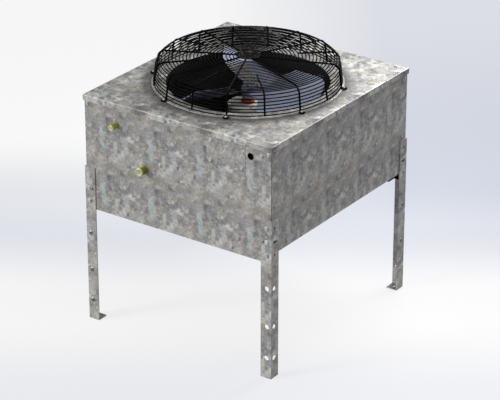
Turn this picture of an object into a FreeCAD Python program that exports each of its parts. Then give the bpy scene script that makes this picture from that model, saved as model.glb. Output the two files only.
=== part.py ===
"""Remote air-cooled condenser: galvanised cabinet on four legs, top fan in a wire guard.

Units are millimetres. The origin is on the floor under the middle of the cabinet.
+X is the width along the front face, +Y the depth towards the back, +Z is up.
"""
import FreeCAD, Part
import Sketcher
import math
import os
import re

doc = FreeCAD.newDocument("remote_condenser")
sheet = doc.addObject("Spreadsheet::Sheet", "sizes")

SIZES = {
    # Top cover, a shallow pan turned down at its edges
    "cover_width": 700,
    "cover_depth": 754,
    "cover_top": 765,
    "cover_gauge": 1.5,
    "cover_lip": 18,
    "fan_opening_radius": 253,
    # Collar under the opening
    "collar_gauge": 1.2,
    "collar_flange": 18,
    "collar_depth": 50,
    # Angle legs with a bolt-down tab
    "leg_inset": 1,
    "leg_flange": 38,
    "leg_gauge": 3,
    "leg_height": 527,
    "leg_hole_radius": 8,
    "leg_hole_offset": 16.5,
    "leg_hole_low": 68,
    "leg_hole_middle": 174.5,
    "leg_hole_high": 302,
    "key_hole_height": 455,
    "key_hole_radius": 5.5,
    "key_tail_reach": 14,
    "key_tail_height": 6,
    "mount_hole_lower": 413.5,
    "mount_hole_upper": 500,
    "mount_hole_radius": 4,
    "anchor_hole_radius": 5,
    # Cabinet panels
    "panel_gauge": 1.2,
    "panel_flange": 22,
    "end_panel_bottom": 387,
    "side_panel_bottom": 415,
    "corner_seam": 3.5,
    "flange_gap": 1,
    # Holes and fittings of the front panel
    "cable_hole_radius": 11.1,
    "cable_hole_inset": 74,
    "cable_hole_drop": 48,
    "junction_cover_inset": 93,
    "junction_cover_width": 139,
    "junction_cover_drop": 20,
    "junction_cover_height": 78,
    "junction_cover_gauge": 1,
    "large_port_inset": 227,
    "large_port_drop": 191.5,
    "large_nose_radius": 13.5,
    "large_shank_radius": 11,
    "large_bore_radius": 9.5,
    "large_tube_radius": 8,
    "small_port_inset": 123,
    "small_port_drop": 72,
    "small_nose_radius": 9,
    "small_shank_radius": 7.5,
    "small_bore_radius": 5,
    "small_tube_radius": 5,
    "port_nose_length": 30,
    "port_bore_depth": 14,
    "port_shank_length": 11,
    "port_hole_clearance": 0.3,
    "tube_corner": 12,
    # Coil across the bottom of the cabinet
    "coil_side_gap": 4,
    "coil_lift": 6,
    "coil_thickness": 60,
    "coil_end_space": 53,
    "coil_plate_gauge": 1.5,
    "coil_plate_margin": 2,
    "coil_plate_rise": 4,
    # Motor on its bracket
    "bracket_half_width": 62.5,
    "bracket_drop": 153,
    "bracket_gauge": 2,
    "bracket_flange": 25,
    "motor_radius": 65,
    "motor_height": 83,
    "motor_cap_radius": 21,
    "motor_cap_height": 13,
    "motor_bore_depth": 40,
    "shaft_radius": 6.35,
    "shaft_running_clearance": 0.05,
    "shaft_end_gap": 1,
    "shaft_rise": 4,
    # Fan
    "hub_radius": 20,
    "hub_height": 34,
    "hub_cap_gap": 5,
    "blade_tip_gap": 10,
    "blade_root_radius": 50,
    "blade_gauge": 1.6,
    "blade_camber_radius": 400,
    "blade_pitch": 25,
    "blade_seat": 10,
    "blade_centreline": -5,
    "blade_droop": 3.43,
    "blade_droop_reach": 200,
    # Corners of a blade's outline, along and across its centreline
    "blade_trailing_root": 7.7,
    "blade_neck_reach": 81,
    "blade_neck_offset": 83,
    "blade_shoulder_reach": 102,
    "blade_shoulder_offset": 100,
    "blade_trailing_offset": 118,
    "blade_leading_tip": 58,
    "blade_leading_reach": 121.5,
    "blade_leading_offset": 129,
    "blade_heel_reach": 30,
    "blade_waist_reach": 72,
    "blade_waist_offset": 50,
    "blade_leading_root": 12,
    "blade_corner_radius": 30,
    "arm_gauge": 3,
    "arm_half_width": 18,
    "arm_reach": 150,
    "arm_angle": 3,
    # Stiffening plate across the second blade, corners along and across it
    "plate_gauge": 1.6,
    "plate_inner_reach": 52,
    "plate_inner_offset": 6,
    "plate_lower_reach": 74,
    "plate_lower_offset": 31,
    "plate_outer_reach": 191,
    "plate_outer_offset": 39,
    "plate_upper_reach": 87,
    "plate_upper_offset": 80,
    # Wire guard
    "guard_base_margin": 39,
    "guard_wall_taper": 6,
    "guard_shoulder_radius": 26,
    "guard_shoulder_height": 78,
    "guard_top_height": 83.5,
    "guard_ring_wire": 3.2,
    "guard_rod_wire": 5,
    "guard_ring_pitch": 11,
    "guard_wall_pitch": 10.2,
    "guard_short_rod_end": 156,
    "guard_coarse_radius": 150,
    "guard_centre_radius": 40,
    "guard_centre_gauge": 2,
    "guard_foot_radius": 9,
    "guard_foot_height": 3.5,
    "guard_foot_reach": 8,
}

for row, (alias, value) in enumerate(SIZES.items(), start=1):
    sheet.set("A%d" % row, alias)
    sheet.set("B%d" % row, str(value))
    sheet.setAlias("B%d" % row, alias)
doc.recompute()


def size(alias):
    """Read one driving dimension from the sheet."""
    return float(sheet.get(alias))


def formula(text):
    """Turn a formula in plain size names into one that points at the sheet."""
    return re.sub(r"[a-z_]+", lambda word: ("sizes." if word.group() in SIZES else "") + word.group(), text)


def bind(item, target, text):
    """Tie one property of an object to a formula in size names."""
    item.setExpression(target, formula(text))


def block(name, x, y, z):
    """Box between two formulas on each axis."""
    item = doc.addObject("Part::Box", name)
    for side, axis, (low, high) in zip(("Length", "Width", "Height"), "xyz", (x, y, z)):
        bind(item, side, "(%s) - (%s)" % (high, low))
        bind(item, "Placement.Base." + axis, low)
    return item


TURNS = {
    "x": FreeCAD.Rotation(FreeCAD.Vector(0, 1, 0), 90),
    "y": FreeCAD.Rotation(FreeCAD.Vector(1, 0, 0), -90),
    "z": FreeCAD.Rotation(),
    "droop": FreeCAD.Rotation(FreeCAD.Vector(0, 1, 0), 90 + size("blade_droop")),
}


def place(item, along, at):
    """Point an object's own Z along a row axis and tie its foot to three formulas."""
    item.Placement = FreeCAD.Placement(FreeCAD.Vector(), TURNS[along])
    for axis, text in zip("xyz", at):
        bind(item, "Placement.Base." + axis, text)
    return item


def cylinder(name, radius, length, at, along="z"):
    """Cylinder from a point along +X, +Y or +Z."""
    item = doc.addObject("Part::Cylinder", name)
    bind(item, "Radius", radius)
    bind(item, "Height", length)
    return place(item, along, at)


def fuse(name, parts):
    """Join touching solids of one piece."""
    item = doc.addObject("Part::MultiFuse", name)
    item.Shapes = parts
    item.Refine = True
    return item


def cut(name, base, tools):
    """Take one or more tools out of a solid."""
    item = doc.addObject("Part::Cut", name)
    item.Base = base
    item.Tool = tools[0] if len(tools) == 1 else compound(name + "_tools", tools)
    return item


def compound(name, parts):
    """Group several solids without joining them."""
    item = doc.addObject("Part::Compound", name)
    item.Links = parts
    return item


def common(name, base, tool):
    """Keep what two solids share."""
    item = doc.addObject("Part::Common", name)
    item.Base = base
    item.Tool = tool
    return item


def origin_plane(body, role):
    """Find one of a body's own origin planes."""
    return next(plane for plane in body.Origin.OriginFeatures if plane.Role == role)


def new_sketch(body, name, role):
    """Empty sketch on one of a body's own origin planes."""
    sketch = body.newObject("Sketcher::SketchObject", name)
    sketch.AttachmentSupport = [(origin_plane(body, role), "")]
    sketch.MapMode = "FlatFace"
    return sketch


def line_sketch(body, name, role, corners, closed=True):
    """Sketch of straight lines through corners given as pairs of formulas."""
    sketch = new_sketch(body, name, role)
    count = len(corners)
    lines = count if closed else count - 1
    starts = [FreeCAD.Vector(math.cos(2 * math.pi * k / count), math.sin(2 * math.pi * k / count), 0)
              for k in range(count)]
    for k in range(lines):
        sketch.addGeometry(Part.LineSegment(starts[k], starts[(k + 1) % count]), False)
    for k in range(lines if closed else lines - 1):
        sketch.addConstraint(Sketcher.Constraint("Coincident", k, 2, (k + 1) % lines, 1))
    for k, corner in enumerate(corners):
        end = (k, 1) if k < lines else (lines - 1, 2)
        for kind, text in zip(("DistanceX", "DistanceY"), corner):
            start = starts[k].x if kind == "DistanceX" else starts[k].y
            index = sketch.addConstraint(Sketcher.Constraint(kind, -1, 1, *end, start))
            label = "%s%d" % (kind, k)
            sketch.renameConstraint(index, label)
            bind(sketch, "Constraints." + label, text)
    return sketch


def circle_sketch(body, name, role, radius):
    """Sketch of one circle round the body's origin."""
    sketch = new_sketch(body, name, role)
    sketch.addGeometry(Part.Circle(FreeCAD.Vector(), FreeCAD.Vector(0, 0, 1), 1), False)
    sketch.addConstraint(Sketcher.Constraint("Coincident", 0, 3, -1, 1))
    index = sketch.addConstraint(Sketcher.Constraint("Radius", 0, 1))
    sketch.renameConstraint(index, "radius")
    bind(sketch, "Constraints.radius", radius)
    return sketch


def turned(name, corners):
    """Solid turned about the Z axis from a profile of radius and height formulas."""
    body = doc.addObject("PartDesign::Body", name)
    sketch = line_sketch(body, name + "_profile", "XZ_Plane", corners)
    solid = body.newObject("PartDesign::Revolution", name + "_turn")
    solid.Profile = sketch
    solid.ReferenceAxis = (sketch, ["V_Axis"])
    solid.Angle = 360
    body.Tip = solid
    return body


nodes = []


def node(item, label):
    """Register an object as a finished piece under its own name."""
    item.Label = label
    nodes.append(item)
    return item


def mirrored(sign, near, far):
    """Range between two distances from the middle, on the positive or negative side."""
    return (near, far) if sign > 0 else ("-(%s)" % far, "-(%s)" % near)


def signed(sign, text):
    """A formula on the positive or negative side."""
    return text if sign > 0 else "-(%s)" % text


# Faces that several pieces share
COVER_UNDER = "cover_top - cover_gauge"
SIDE_FACE = "cover_width / 2 - leg_inset - leg_gauge"
END_FACE = "cover_depth / 2 - leg_inset - leg_gauge"
CABLE_ACROSS = SIDE_FACE + " - cable_hole_inset"
CABLE_HEIGHT = "cover_top - cable_hole_drop"
PORT_ACROSS = {port: "%s_port_inset - (%s)" % (port, SIDE_FACE) for port in ("large", "small")}
PORT_HEIGHT = {port: "cover_top - %s_port_drop" % port for port in ("large", "small")}
SIDES = {"left": -1, "right": 1}
ENDS = {"front": -1, "back": 1}


def make_top_cover():
    """Pan turned down all round, with the fan opening."""
    half_x, half_y = "cover_width / 2", "cover_depth / 2"
    sheet_metal = block("cover_blank", ("-" + half_x, half_x), ("-" + half_y, half_y),
                        ("cover_top - cover_lip", "cover_top"))
    hollow = block("cover_hollow", ("cover_gauge - " + half_x, half_x + " - cover_gauge"),
                   ("cover_gauge - " + half_y, half_y + " - cover_gauge"),
                   ("cover_top - cover_lip", COVER_UNDER))
    opening = cylinder("cover_opening", "fan_opening_radius", "cover_lip",
                       ("0", "0", "cover_top - cover_lip"))
    node(cut("cover", sheet_metal, [hollow, opening]), "top_cover")


def make_fan_collar():
    """Flanged ring that hangs under the cover round the blade tips."""
    inner = "fan_opening_radius"
    outer = inner + " + collar_gauge"
    low = "cover_top - cover_gauge - collar_depth"
    node(turned("collar", [
        (inner, COVER_UNDER),
        (outer + " + collar_flange", COVER_UNDER),
        (outer + " + collar_flange", COVER_UNDER + " - collar_gauge"),
        (outer, COVER_UNDER + " - collar_gauge"),
        (outer, low),
        (inner, low),
    ]), "fan_collar")


def make_end_panel(end, sign, holes):
    """Front or back sheet, flanged inwards on all four sides."""
    half = SIDE_FACE + " - panel_gauge"
    pan = block(end + "_blank", ("-(%s)" % half, half),
                mirrored(sign, END_FACE + " - panel_flange", END_FACE),
                ("end_panel_bottom", COVER_UNDER))
    hollow = block(end + "_hollow", ("panel_gauge - (%s)" % half, half + " - panel_gauge"),
                   mirrored(sign, END_FACE + " - panel_flange", END_FACE + " - panel_gauge"),
                   ("end_panel_bottom + panel_gauge", COVER_UNDER + " - panel_gauge"))
    node(cut(end, pan, [hollow] + holes), end + "_panel")


def make_side_panel(side, sign):
    """Left or right sheet with a flange along its top and bottom."""
    plate = block(side + "_plate", mirrored(sign, SIDE_FACE + " - panel_gauge", SIDE_FACE),
                  ("corner_seam - (%s)" % END_FACE, END_FACE + " - corner_seam"),
                  ("side_panel_bottom", COVER_UNDER))
    reach = END_FACE + " - panel_flange - flange_gap"
    across = mirrored(sign, SIDE_FACE + " - panel_flange", SIDE_FACE)
    along = ("-(%s)" % reach, reach)
    top = block(side + "_top_flange", across, along, (COVER_UNDER + " - panel_gauge", COVER_UNDER))
    bottom = block(side + "_bottom_flange", across, along,
                   ("side_panel_bottom", "side_panel_bottom + panel_gauge"))
    node(fuse(side, [plate, top, bottom]), side + "_panel")


def front_holes():
    """Cable hole and the two coupling holes."""
    length = "panel_flange"
    start = "-(%s) - panel_flange / 2" % END_FACE
    cable = cylinder("cable_hole", "cable_hole_radius", length,
                     (CABLE_ACROSS, start, CABLE_HEIGHT), "y")
    ports = [cylinder(port + "_hole", port + "_shank_radius + port_hole_clearance", length,
                      (PORT_ACROSS[port], start, PORT_HEIGHT[port]), "y")
             for port in ("large", "small")]
    return [cable] + ports


LEG_HOLES = {"leg_hole_low": "leg_hole_radius", "leg_hole_middle": "leg_hole_radius",
             "leg_hole_high": "leg_hole_radius", "key_hole_height": "key_hole_radius"}
SIDE_FLANGE_HOLES = {"mount_hole_lower": "mount_hole_radius", "mount_hole_upper": "mount_hole_radius"}
KEYED = ("leg_hole_low", "key_hole_height")


def make_leg(label, side, end):
    """Angle leg outside one corner of the cabinet, with round and keyhole openings and a foot tab."""
    out_x = "cover_width / 2 - leg_inset"
    out_y = "cover_depth / 2 - leg_inset"
    prefix = label + "_"
    rise = ("0", "leg_height")
    end_flange = block(prefix + "end_flange", mirrored(side, out_x + " - leg_flange", out_x),
                       mirrored(end, out_y + " - leg_gauge", out_y), rise)
    side_flange = block(prefix + "side_flange", mirrored(side, out_x + " - leg_gauge", out_x),
                        mirrored(end, out_y + " - leg_flange", out_y), rise)
    tab = block(prefix + "tab", mirrored(side, out_x + " - leg_flange", out_x),
                mirrored(end, out_y + " - leg_flange", out_y), ("0", "leg_gauge"))
    through_end = mirrored(end, out_y + " - 2 * leg_gauge", out_y + " + leg_gauge")
    through_side = mirrored(side, out_x + " - 2 * leg_gauge", out_x + " + leg_gauge")
    tail_end = " - leg_hole_offset - key_tail_reach + key_tail_height / 2"
    holes = []

    def end_hole(height, radius, offset):
        holes.append(cylinder(prefix + height + "_end_%d" % len(holes), radius, "3 * leg_gauge",
                              (signed(side, out_x + offset), through_end[0], height), "y"))

    def side_hole(height, radius, offset):
        holes.append(cylinder(prefix + height + "_side_%d" % len(holes), radius, "3 * leg_gauge",
                              (through_side[0], signed(end, out_y + offset), height), "x"))

    for height, radius in LEG_HOLES.items():
        end_hole(height, radius, " - leg_hole_offset")
        side_hole(height, radius, " - leg_hole_offset")
    for height, radius in SIDE_FLANGE_HOLES.items():
        side_hole(height, radius, " - leg_hole_offset")
    for height in KEYED:
        end_hole(height, "key_tail_height / 2", tail_end)
        side_hole(height, "key_tail_height / 2", tail_end)
        tail = (height + " - key_tail_height / 2", height + " + key_tail_height / 2")
        holes.append(block(prefix + height + "_end_tail",
                           mirrored(side, out_x + tail_end, out_x + " - leg_hole_offset"), through_end, tail))
        holes.append(block(prefix + height + "_side_tail", through_side,
                           mirrored(end, out_y + tail_end, out_y + " - leg_hole_offset"), tail))
    middle = "(leg_flange + leg_gauge) / 2"
    holes.append(cylinder(prefix + "anchor_hole", "anchor_hole_radius", "3 * leg_gauge",
                          (signed(side, out_x + " - " + middle), signed(end, out_y + " - " + middle),
                           "-leg_gauge")))
    node(cut(label, fuse(prefix + "angle", [end_flange, side_flange, tab]), holes), label)


def make_junction_cover():
    """Flat lid over the electrical box on the front panel."""
    right = SIDE_FACE + " - junction_cover_inset"
    top = "cover_top - junction_cover_drop"
    node(block("junction", (right + " - junction_cover_width", right),
               mirrored(-1, END_FACE, END_FACE + " + junction_cover_gauge"),
               (top + " - junction_cover_height", top)), "junction_cover")


def make_coupling(port):
    """Round tube fitting, its shank through the front panel."""
    across, height = PORT_ACROSS[port], PORT_HEIGHT[port]
    face = "-(%s)" % END_FACE
    mouth = face + " - port_nose_length"
    nose = cylinder(port + "_nose", port + "_nose_radius", "port_nose_length",
                    (across, mouth, height), "y")
    shank = cylinder(port + "_shank", port + "_shank_radius", "port_shank_length",
                     (across, face, height), "y")
    bore = cylinder(port + "_bore", port + "_bore_radius", "port_bore_depth",
                    (across, mouth, height), "y")
    node(cut(port + "_fitting", fuse(port + "_solid", [nose, shank]), [bore]), port + "_coupling")


COIL_PLATE_FACE = END_FACE + " - panel_gauge - coil_end_space"
COIL_BOTTOM = "end_panel_bottom + panel_gauge + coil_lift"
COIL_TOP = COIL_BOTTOM + " + coil_thickness"


def make_line(port, label):
    """Copper line from a coupling's shank down to the coil's front plate, with cut corners."""
    run = "(panel_gauge + coil_end_space - port_shank_length)"
    stub = "(%s / 2 - tube_corner)" % run
    drop = "(%s - (%s) - coil_thickness / 2)" % (PORT_HEIGHT[port], COIL_BOTTOM)
    body = doc.addObject("PartDesign::Body", port + "_line")
    path = line_sketch(body, port + "_line_path", "YZ_Plane", [
        ("0", "0"),
        (stub, "0"),
        (run + " / 2", "-tube_corner"),
        (run + " / 2", "tube_corner - " + drop),
        (run + " - " + stub, "-" + drop),
        (run, "-" + drop),
    ], closed=False)
    pipe = body.newObject("PartDesign::AdditivePipe", port + "_pipe")
    pipe.Profile = circle_sketch(body, port + "_line_section", "XZ_Plane", port + "_tube_radius")
    pipe.Spine = path
    pipe.Transition = "Right corner"
    body.Tip = pipe
    for axis, text in zip("xyz", (PORT_ACROSS[port], "port_shank_length - (%s)" % END_FACE, PORT_HEIGHT[port])):
        bind(body, "Placement.Base." + axis, text)
    node(body, label)


def make_coil():
    """Finned block between two end plates that stand on the panels' bottom flanges."""
    inside = COIL_PLATE_FACE + " - coil_plate_gauge"
    fins = SIDE_FACE + " - panel_flange - coil_side_gap"
    node(block("fins", ("-(%s)" % fins, fins), ("-(%s)" % inside, inside), (COIL_BOTTOM, COIL_TOP)),
         "coil_fin_block")
    half = fins + " + coil_plate_margin"
    floor = "end_panel_bottom + panel_gauge"
    for end, sign in ENDS.items():
        web = block(end + "_coil_web", ("-(%s)" % half, half), mirrored(sign, inside, COIL_PLATE_FACE),
                    (floor, COIL_TOP + " + coil_plate_rise"))
        foot = block(end + "_coil_foot", ("-(%s)" % half, half),
                     mirrored(sign, inside, END_FACE + " - panel_gauge - flange_gap"),
                     (floor, floor + " + coil_plate_gauge"))
        node(fuse(end + "_coil_plate_solid", [web, foot]), "coil_%s_plate" % end)


BRACKET_TOP = "cover_top - bracket_drop"
MOTOR_TOP = BRACKET_TOP + " + motor_height"
HUB_BOTTOM = MOTOR_TOP + " + motor_cap_height + hub_cap_gap"
BLADE_TIP = "(fan_opening_radius - blade_tip_gap)"
FAN_CUT_BOTTOM = "cover_top - 2 * blade_leading_offset"
FAN_CUT_HEIGHT = "4 * blade_leading_offset"


def make_motor_bracket():
    """Channel across the cabinet from the front panel to the back panel."""
    inside = END_FACE + " - panel_gauge"
    channel = block("bracket_blank", ("-bracket_half_width", "bracket_half_width"),
                    ("-(%s)" % inside, inside), (BRACKET_TOP + " - bracket_flange", BRACKET_TOP))
    hollow = block("bracket_hollow", ("bracket_gauge - bracket_half_width", "bracket_half_width - bracket_gauge"),
                   ("bracket_gauge - (%s)" % inside, inside + " - bracket_gauge"),
                   (BRACKET_TOP + " - bracket_flange", BRACKET_TOP + " - bracket_gauge"))
    node(cut("bracket", channel, [hollow]), "motor_bracket")


def make_motor():
    """Round motor that stands on the bracket, and the cap round its shaft."""
    bore = "shaft_radius + shaft_running_clearance"
    node(turned("motor", [
        ("0", BRACKET_TOP),
        ("motor_radius", BRACKET_TOP),
        ("motor_radius", MOTOR_TOP),
        (bore, MOTOR_TOP),
        (bore, MOTOR_TOP + " - motor_bore_depth"),
        ("0", MOTOR_TOP + " - motor_bore_depth"),
    ]), "fan_motor")
    node(turned("motor_cap", [
        (bore, MOTOR_TOP),
        ("motor_cap_radius", MOTOR_TOP),
        ("motor_cap_radius", MOTOR_TOP + " + motor_cap_height"),
        (bore, MOTOR_TOP + " + motor_cap_height"),
    ]), "motor_cap")


def make_shaft():
    """Motor shaft from its bore to just above the hub."""
    start = MOTOR_TOP + " - motor_bore_depth + shaft_end_gap"
    node(cylinder("shaft", "shaft_radius", "(%s + hub_height + shaft_rise) - (%s)" % (HUB_BOTTOM, start),
                  ("0", "0", start)), "motor_shaft")


def camber_shell(name, outer, inner):
    """Part of a tube that droops towards the tip, its wall the cambered sheet of a blade or an arm."""
    shift = "-blade_camber_radius * sin(blade_pitch)"
    rise = (HUB_BOTTOM + " + blade_seat + blade_camber_radius * cos(blade_pitch)"
            " + (blade_droop_reach + hub_radius) * tan(blade_droop)")
    length = BLADE_TIP + " + 2 * hub_radius"
    tubes = [cylinder(name + "_" + kind, radius, length, ("-hub_radius", shift, rise), "droop")
             for kind, radius in (("outside", outer), ("inside", inner))]
    return cut(name, tubes[0], [tubes[1]])


def make_blade_blank():
    """Outline of one blade in plan, cut from a thick disc and rounded at its two tip corners."""
    plan = doc.addObject("PartDesign::Body", "blade_plan")
    sketch = line_sketch(plan, "blade_outline", "XY_Plane", [
        ("hub_radius", "-blade_trailing_root"),
        ("blade_neck_reach", "blade_neck_offset"),
        ("blade_shoulder_reach", "blade_shoulder_offset"),
        (BLADE_TIP + " + hub_radius", "blade_trailing_offset"),
        (BLADE_TIP + " + hub_radius", "-blade_leading_tip"),
        ("blade_leading_reach", "-blade_leading_offset"),
        ("blade_heel_reach", "-blade_leading_offset"),
        ("blade_waist_reach", "-blade_waist_offset"),
        ("blade_root_radius", "-blade_leading_root"),
        ("hub_radius", "-blade_leading_root"),
    ])
    pad = plan.newObject("PartDesign::Pad", "blade_pad")
    pad.Profile = sketch
    bind(pad, "Length", FAN_CUT_HEIGHT)
    plan.Tip = pad
    bind(plan, "Placement.Base.z", FAN_CUT_BOTTOM)
    disc = cylinder("blade_tip_circle", BLADE_TIP, FAN_CUT_HEIGHT, ("0", "0", FAN_CUT_BOTTOM))
    centre = cylinder("blade_root_circle", "blade_root_radius", FAN_CUT_HEIGHT, ("0", "0", FAN_CUT_BOTTOM))
    sharp = cut("blade_sharp", common("blade_disc", plan, disc), [centre])
    doc.recompute()
    tip = size("fan_opening_radius") - size("blade_tip_gap")
    radius = size("blade_corner_radius")
    corners = []
    for number, edge in enumerate(sharp.Shape.Edges, start=1):
        first, last = edge.Vertexes[0].Point, edge.Vertexes[-1].Point
        upright = math.hypot(first.x - last.x, first.y - last.y) < 0.001
        if upright and abs(math.hypot(first.x, first.y) - tip) < 0.001:
            corners.append((number, radius, radius))
    rounded = doc.addObject("Part::Fillet", "blade_blank")
    rounded.Base = sharp
    rounded.Edges = corners
    return rounded


def make_plate_blank():
    """Outline of the stiffening plate in plan, as a thick block."""
    plan = doc.addObject("PartDesign::Body", "plate_plan")
    sketch = line_sketch(plan, "plate_outline", "XY_Plane", [
        ("plate_inner_reach", "-plate_inner_offset"),
        ("plate_lower_reach", "-plate_lower_offset"),
        ("plate_outer_reach", "plate_outer_offset"),
        ("plate_upper_reach", "plate_upper_offset"),
    ])
    pad = plan.newObject("PartDesign::Pad", "plate_pad")
    pad.Profile = sketch
    bind(pad, "Length", FAN_CUT_HEIGHT)
    plan.Tip = pad
    bind(plan, "Placement.Base.z", FAN_CUT_BOTTOM)
    return plan


def make_fan():
    """Hub with three cambered arms, one wide blade on each arm and a plate on the second blade."""
    centre_turn = size("blade_centreline")
    blade_outer = "blade_camber_radius"
    blade_inner = "blade_camber_radius - blade_gauge"
    blank = make_blade_blank()
    shell = camber_shell("blade_shell", blade_outer, blade_inner)
    arm_shell = camber_shell("arm_shell", "blade_camber_radius + arm_gauge", blade_outer)
    arm_blank = block("arm_blank", ("hub_radius / 2", "arm_reach"), ("-arm_half_width", "arm_half_width"),
                      (FAN_CUT_BOTTOM, FAN_CUT_BOTTOM + " + " + FAN_CUT_HEIGHT))
    arm_blank.Placement.Rotation = FreeCAD.Rotation(FreeCAD.Vector(0, 0, 1), size("arm_angle"))
    bind(arm_blank, "Placement.Base.x", "hub_radius / 2 * cos(arm_angle) + arm_half_width * sin(arm_angle)")
    bind(arm_blank, "Placement.Base.y", "hub_radius / 2 * sin(arm_angle) - arm_half_width * cos(arm_angle)")
    arms = []
    for number in range(3):
        turn = FreeCAD.Placement(FreeCAD.Vector(), FreeCAD.Rotation(FreeCAD.Vector(0, 0, 1),
                                                                    centre_turn + 120 * number))
        blade = common("blade_%d" % (number + 1), blank, shell)
        blade.Placement = turn
        node(blade, "fan_blade_%d" % (number + 1))
        arm = common("arm_%d" % (number + 1), arm_blank, arm_shell)
        arm.Placement = turn
        arms.append(arm)
    plate_shell = camber_shell("plate_shell", blade_inner, "blade_camber_radius - blade_gauge - plate_gauge")
    plate = common("plate", make_plate_blank(), plate_shell)
    plate.Placement = FreeCAD.Placement(FreeCAD.Vector(), FreeCAD.Rotation(FreeCAD.Vector(0, 0, 1),
                                                                         centre_turn + 120))
    node(plate, "blade_plate")
    barrel = cylinder("hub_barrel", "hub_radius", "hub_height", ("0", "0", HUB_BOTTOM))
    bore = cylinder("hub_bore", "shaft_radius + shaft_running_clearance", FAN_CUT_HEIGHT,
                    ("0", "0", FAN_CUT_BOTTOM))
    node(cut("hub", fuse("hub_solid", [barrel] + arms), [bore]), "fan_hub")


ROD_COUNT = 16
RING_SIDES = 32
INNER_RING_SIDES = 16
FOOT_SIDES = 12


def guard_profile():
    """Centre line of a guard rod as radius and height above the cover, from its foot to the middle."""
    foot = size("guard_foot_height") + size("guard_rod_wire") / 2
    base = size("fan_opening_radius") + size("guard_base_margin")
    wall = base - size("guard_wall_taper")
    bend, shoulder, top = (size("guard_" + key) for key in ("shoulder_radius", "shoulder_height", "top_height"))
    arc = [(wall - bend + bend * math.cos(math.radians(turn)), shoulder - bend + bend * math.sin(math.radians(turn)))
           for turn in (0, 30, 60, 90)]
    return [(base, foot)] + arc + [(size("guard_centre_radius") / 2, top)]


def point_along(line, radius=None, height=None):
    """Where the profile passes a given radius or height."""
    for (r0, z0), (r1, z1) in zip(line, line[1:]):
        if radius is not None and min(r0, r1) <= radius <= max(r0, r1) and r0 != r1:
            share = (radius - r0) / (r1 - r0)
            return radius, z0 + share * (z1 - z0)
        if height is not None and min(z0, z1) <= height <= max(z0, z1) and z0 != z1:
            share = (height - z0) / (z1 - z0)
            return r0 + share * (r1 - r0), height
    raise ValueError("the guard profile does not reach there")


def ribbon(line, wire):
    """Bar of square section that follows a line in the XZ plane."""
    def normal(a, b):
        dx, dz = b[0] - a[0], b[1] - a[1]
        length = math.hypot(dx, dz)
        return -dz / length, dx / length
    sides = []
    for k, (r, z) in enumerate(line):
        before = normal(line[max(k - 1, 0)], line[max(k, 1)])
        after = normal(line[min(k, len(line) - 2)], line[min(k + 1, len(line) - 1)])
        nx, nz = before[0] + after[0], before[1] + after[1]
        scale = wire / (nx * nx + nz * nz)
        sides.append(((r + nx * scale, z + nz * scale), (r - nx * scale, z - nz * scale)))
    loop = [FreeCAD.Vector(a[0], -wire / 2, a[1]) for a, _ in sides]
    loop += [FreeCAD.Vector(b[0], -wire / 2, b[1]) for _, b in reversed(sides)]
    return Part.Face(Part.makePolygon(loop + [loop[0]])).extrude(FreeCAD.Vector(0, wire, 0))


def polygon_face(radius, height, sides, across=0):
    """Flat face with evenly spaced corners on a circle round a point on the X axis."""
    corners = [FreeCAD.Vector(across + radius * math.cos(2 * math.pi * k / sides),
                              radius * math.sin(2 * math.pi * k / sides), height) for k in range(sides)]
    return Part.Face(Part.makePolygon(corners + [corners[0]]))


def hoop(radius, height, wire):
    """Many-sided ring of square section, with fewer sides near the middle of the guard."""
    sides = INNER_RING_SIDES if radius < size("guard_coarse_radius") else RING_SIDES
    outer = polygon_face(radius + wire / 2, height - wire / 2, sides)
    inner = polygon_face(radius - wire / 2, height - wire / 2, sides)
    return outer.cut(inner).extrude(FreeCAD.Vector(0, 0, wire))


def turned_about_z(shape, degrees):
    """Copy of a shape turned about the Z axis."""
    copy = shape.copy()
    copy.rotate(FreeCAD.Vector(), FreeCAD.Vector(0, 0, 1), degrees)
    return copy


def guard_node(shape, label):
    """Set a guard piece's shape at the height of the cover."""
    item = doc.addObject("Part::Feature", label + "_wires")
    item.Shape = shape
    item.Placement = FreeCAD.Placement(FreeCAD.Vector(0, 0, size("cover_top")), FreeCAD.Rotation())
    return node(item, label)


def guard_rods(line, split):
    """All rods in two lots: outside and inside the upright cut where the wall meets the top."""
    rod = size("guard_rod_wire")
    foot_end = (line[0][0] + size("guard_foot_reach") + size("guard_foot_radius") / 2, line[0][1])
    short_end = point_along(line, radius=size("guard_short_rod_end"))
    reach = 2 * line[0][0]
    outside = Part.makeBox(reach, reach, reach, FreeCAD.Vector(split[0], -reach / 2, -reach / 2))
    footed, plain = ribbon([foot_end] + line, rod), ribbon(line[:-1] + [short_end], rod)
    wall_rods, top_rods = [], []
    for k in range(ROD_COUNT):
        whole = footed if k % 2 else plain
        wall_rods.append(turned_about_z(whole.common(outside), 360 / ROD_COUNT * k))
        top_rods.append(turned_about_z(whole.cut(outside), 360 / ROD_COUNT * k))
    return wall_rods, top_rods


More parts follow.
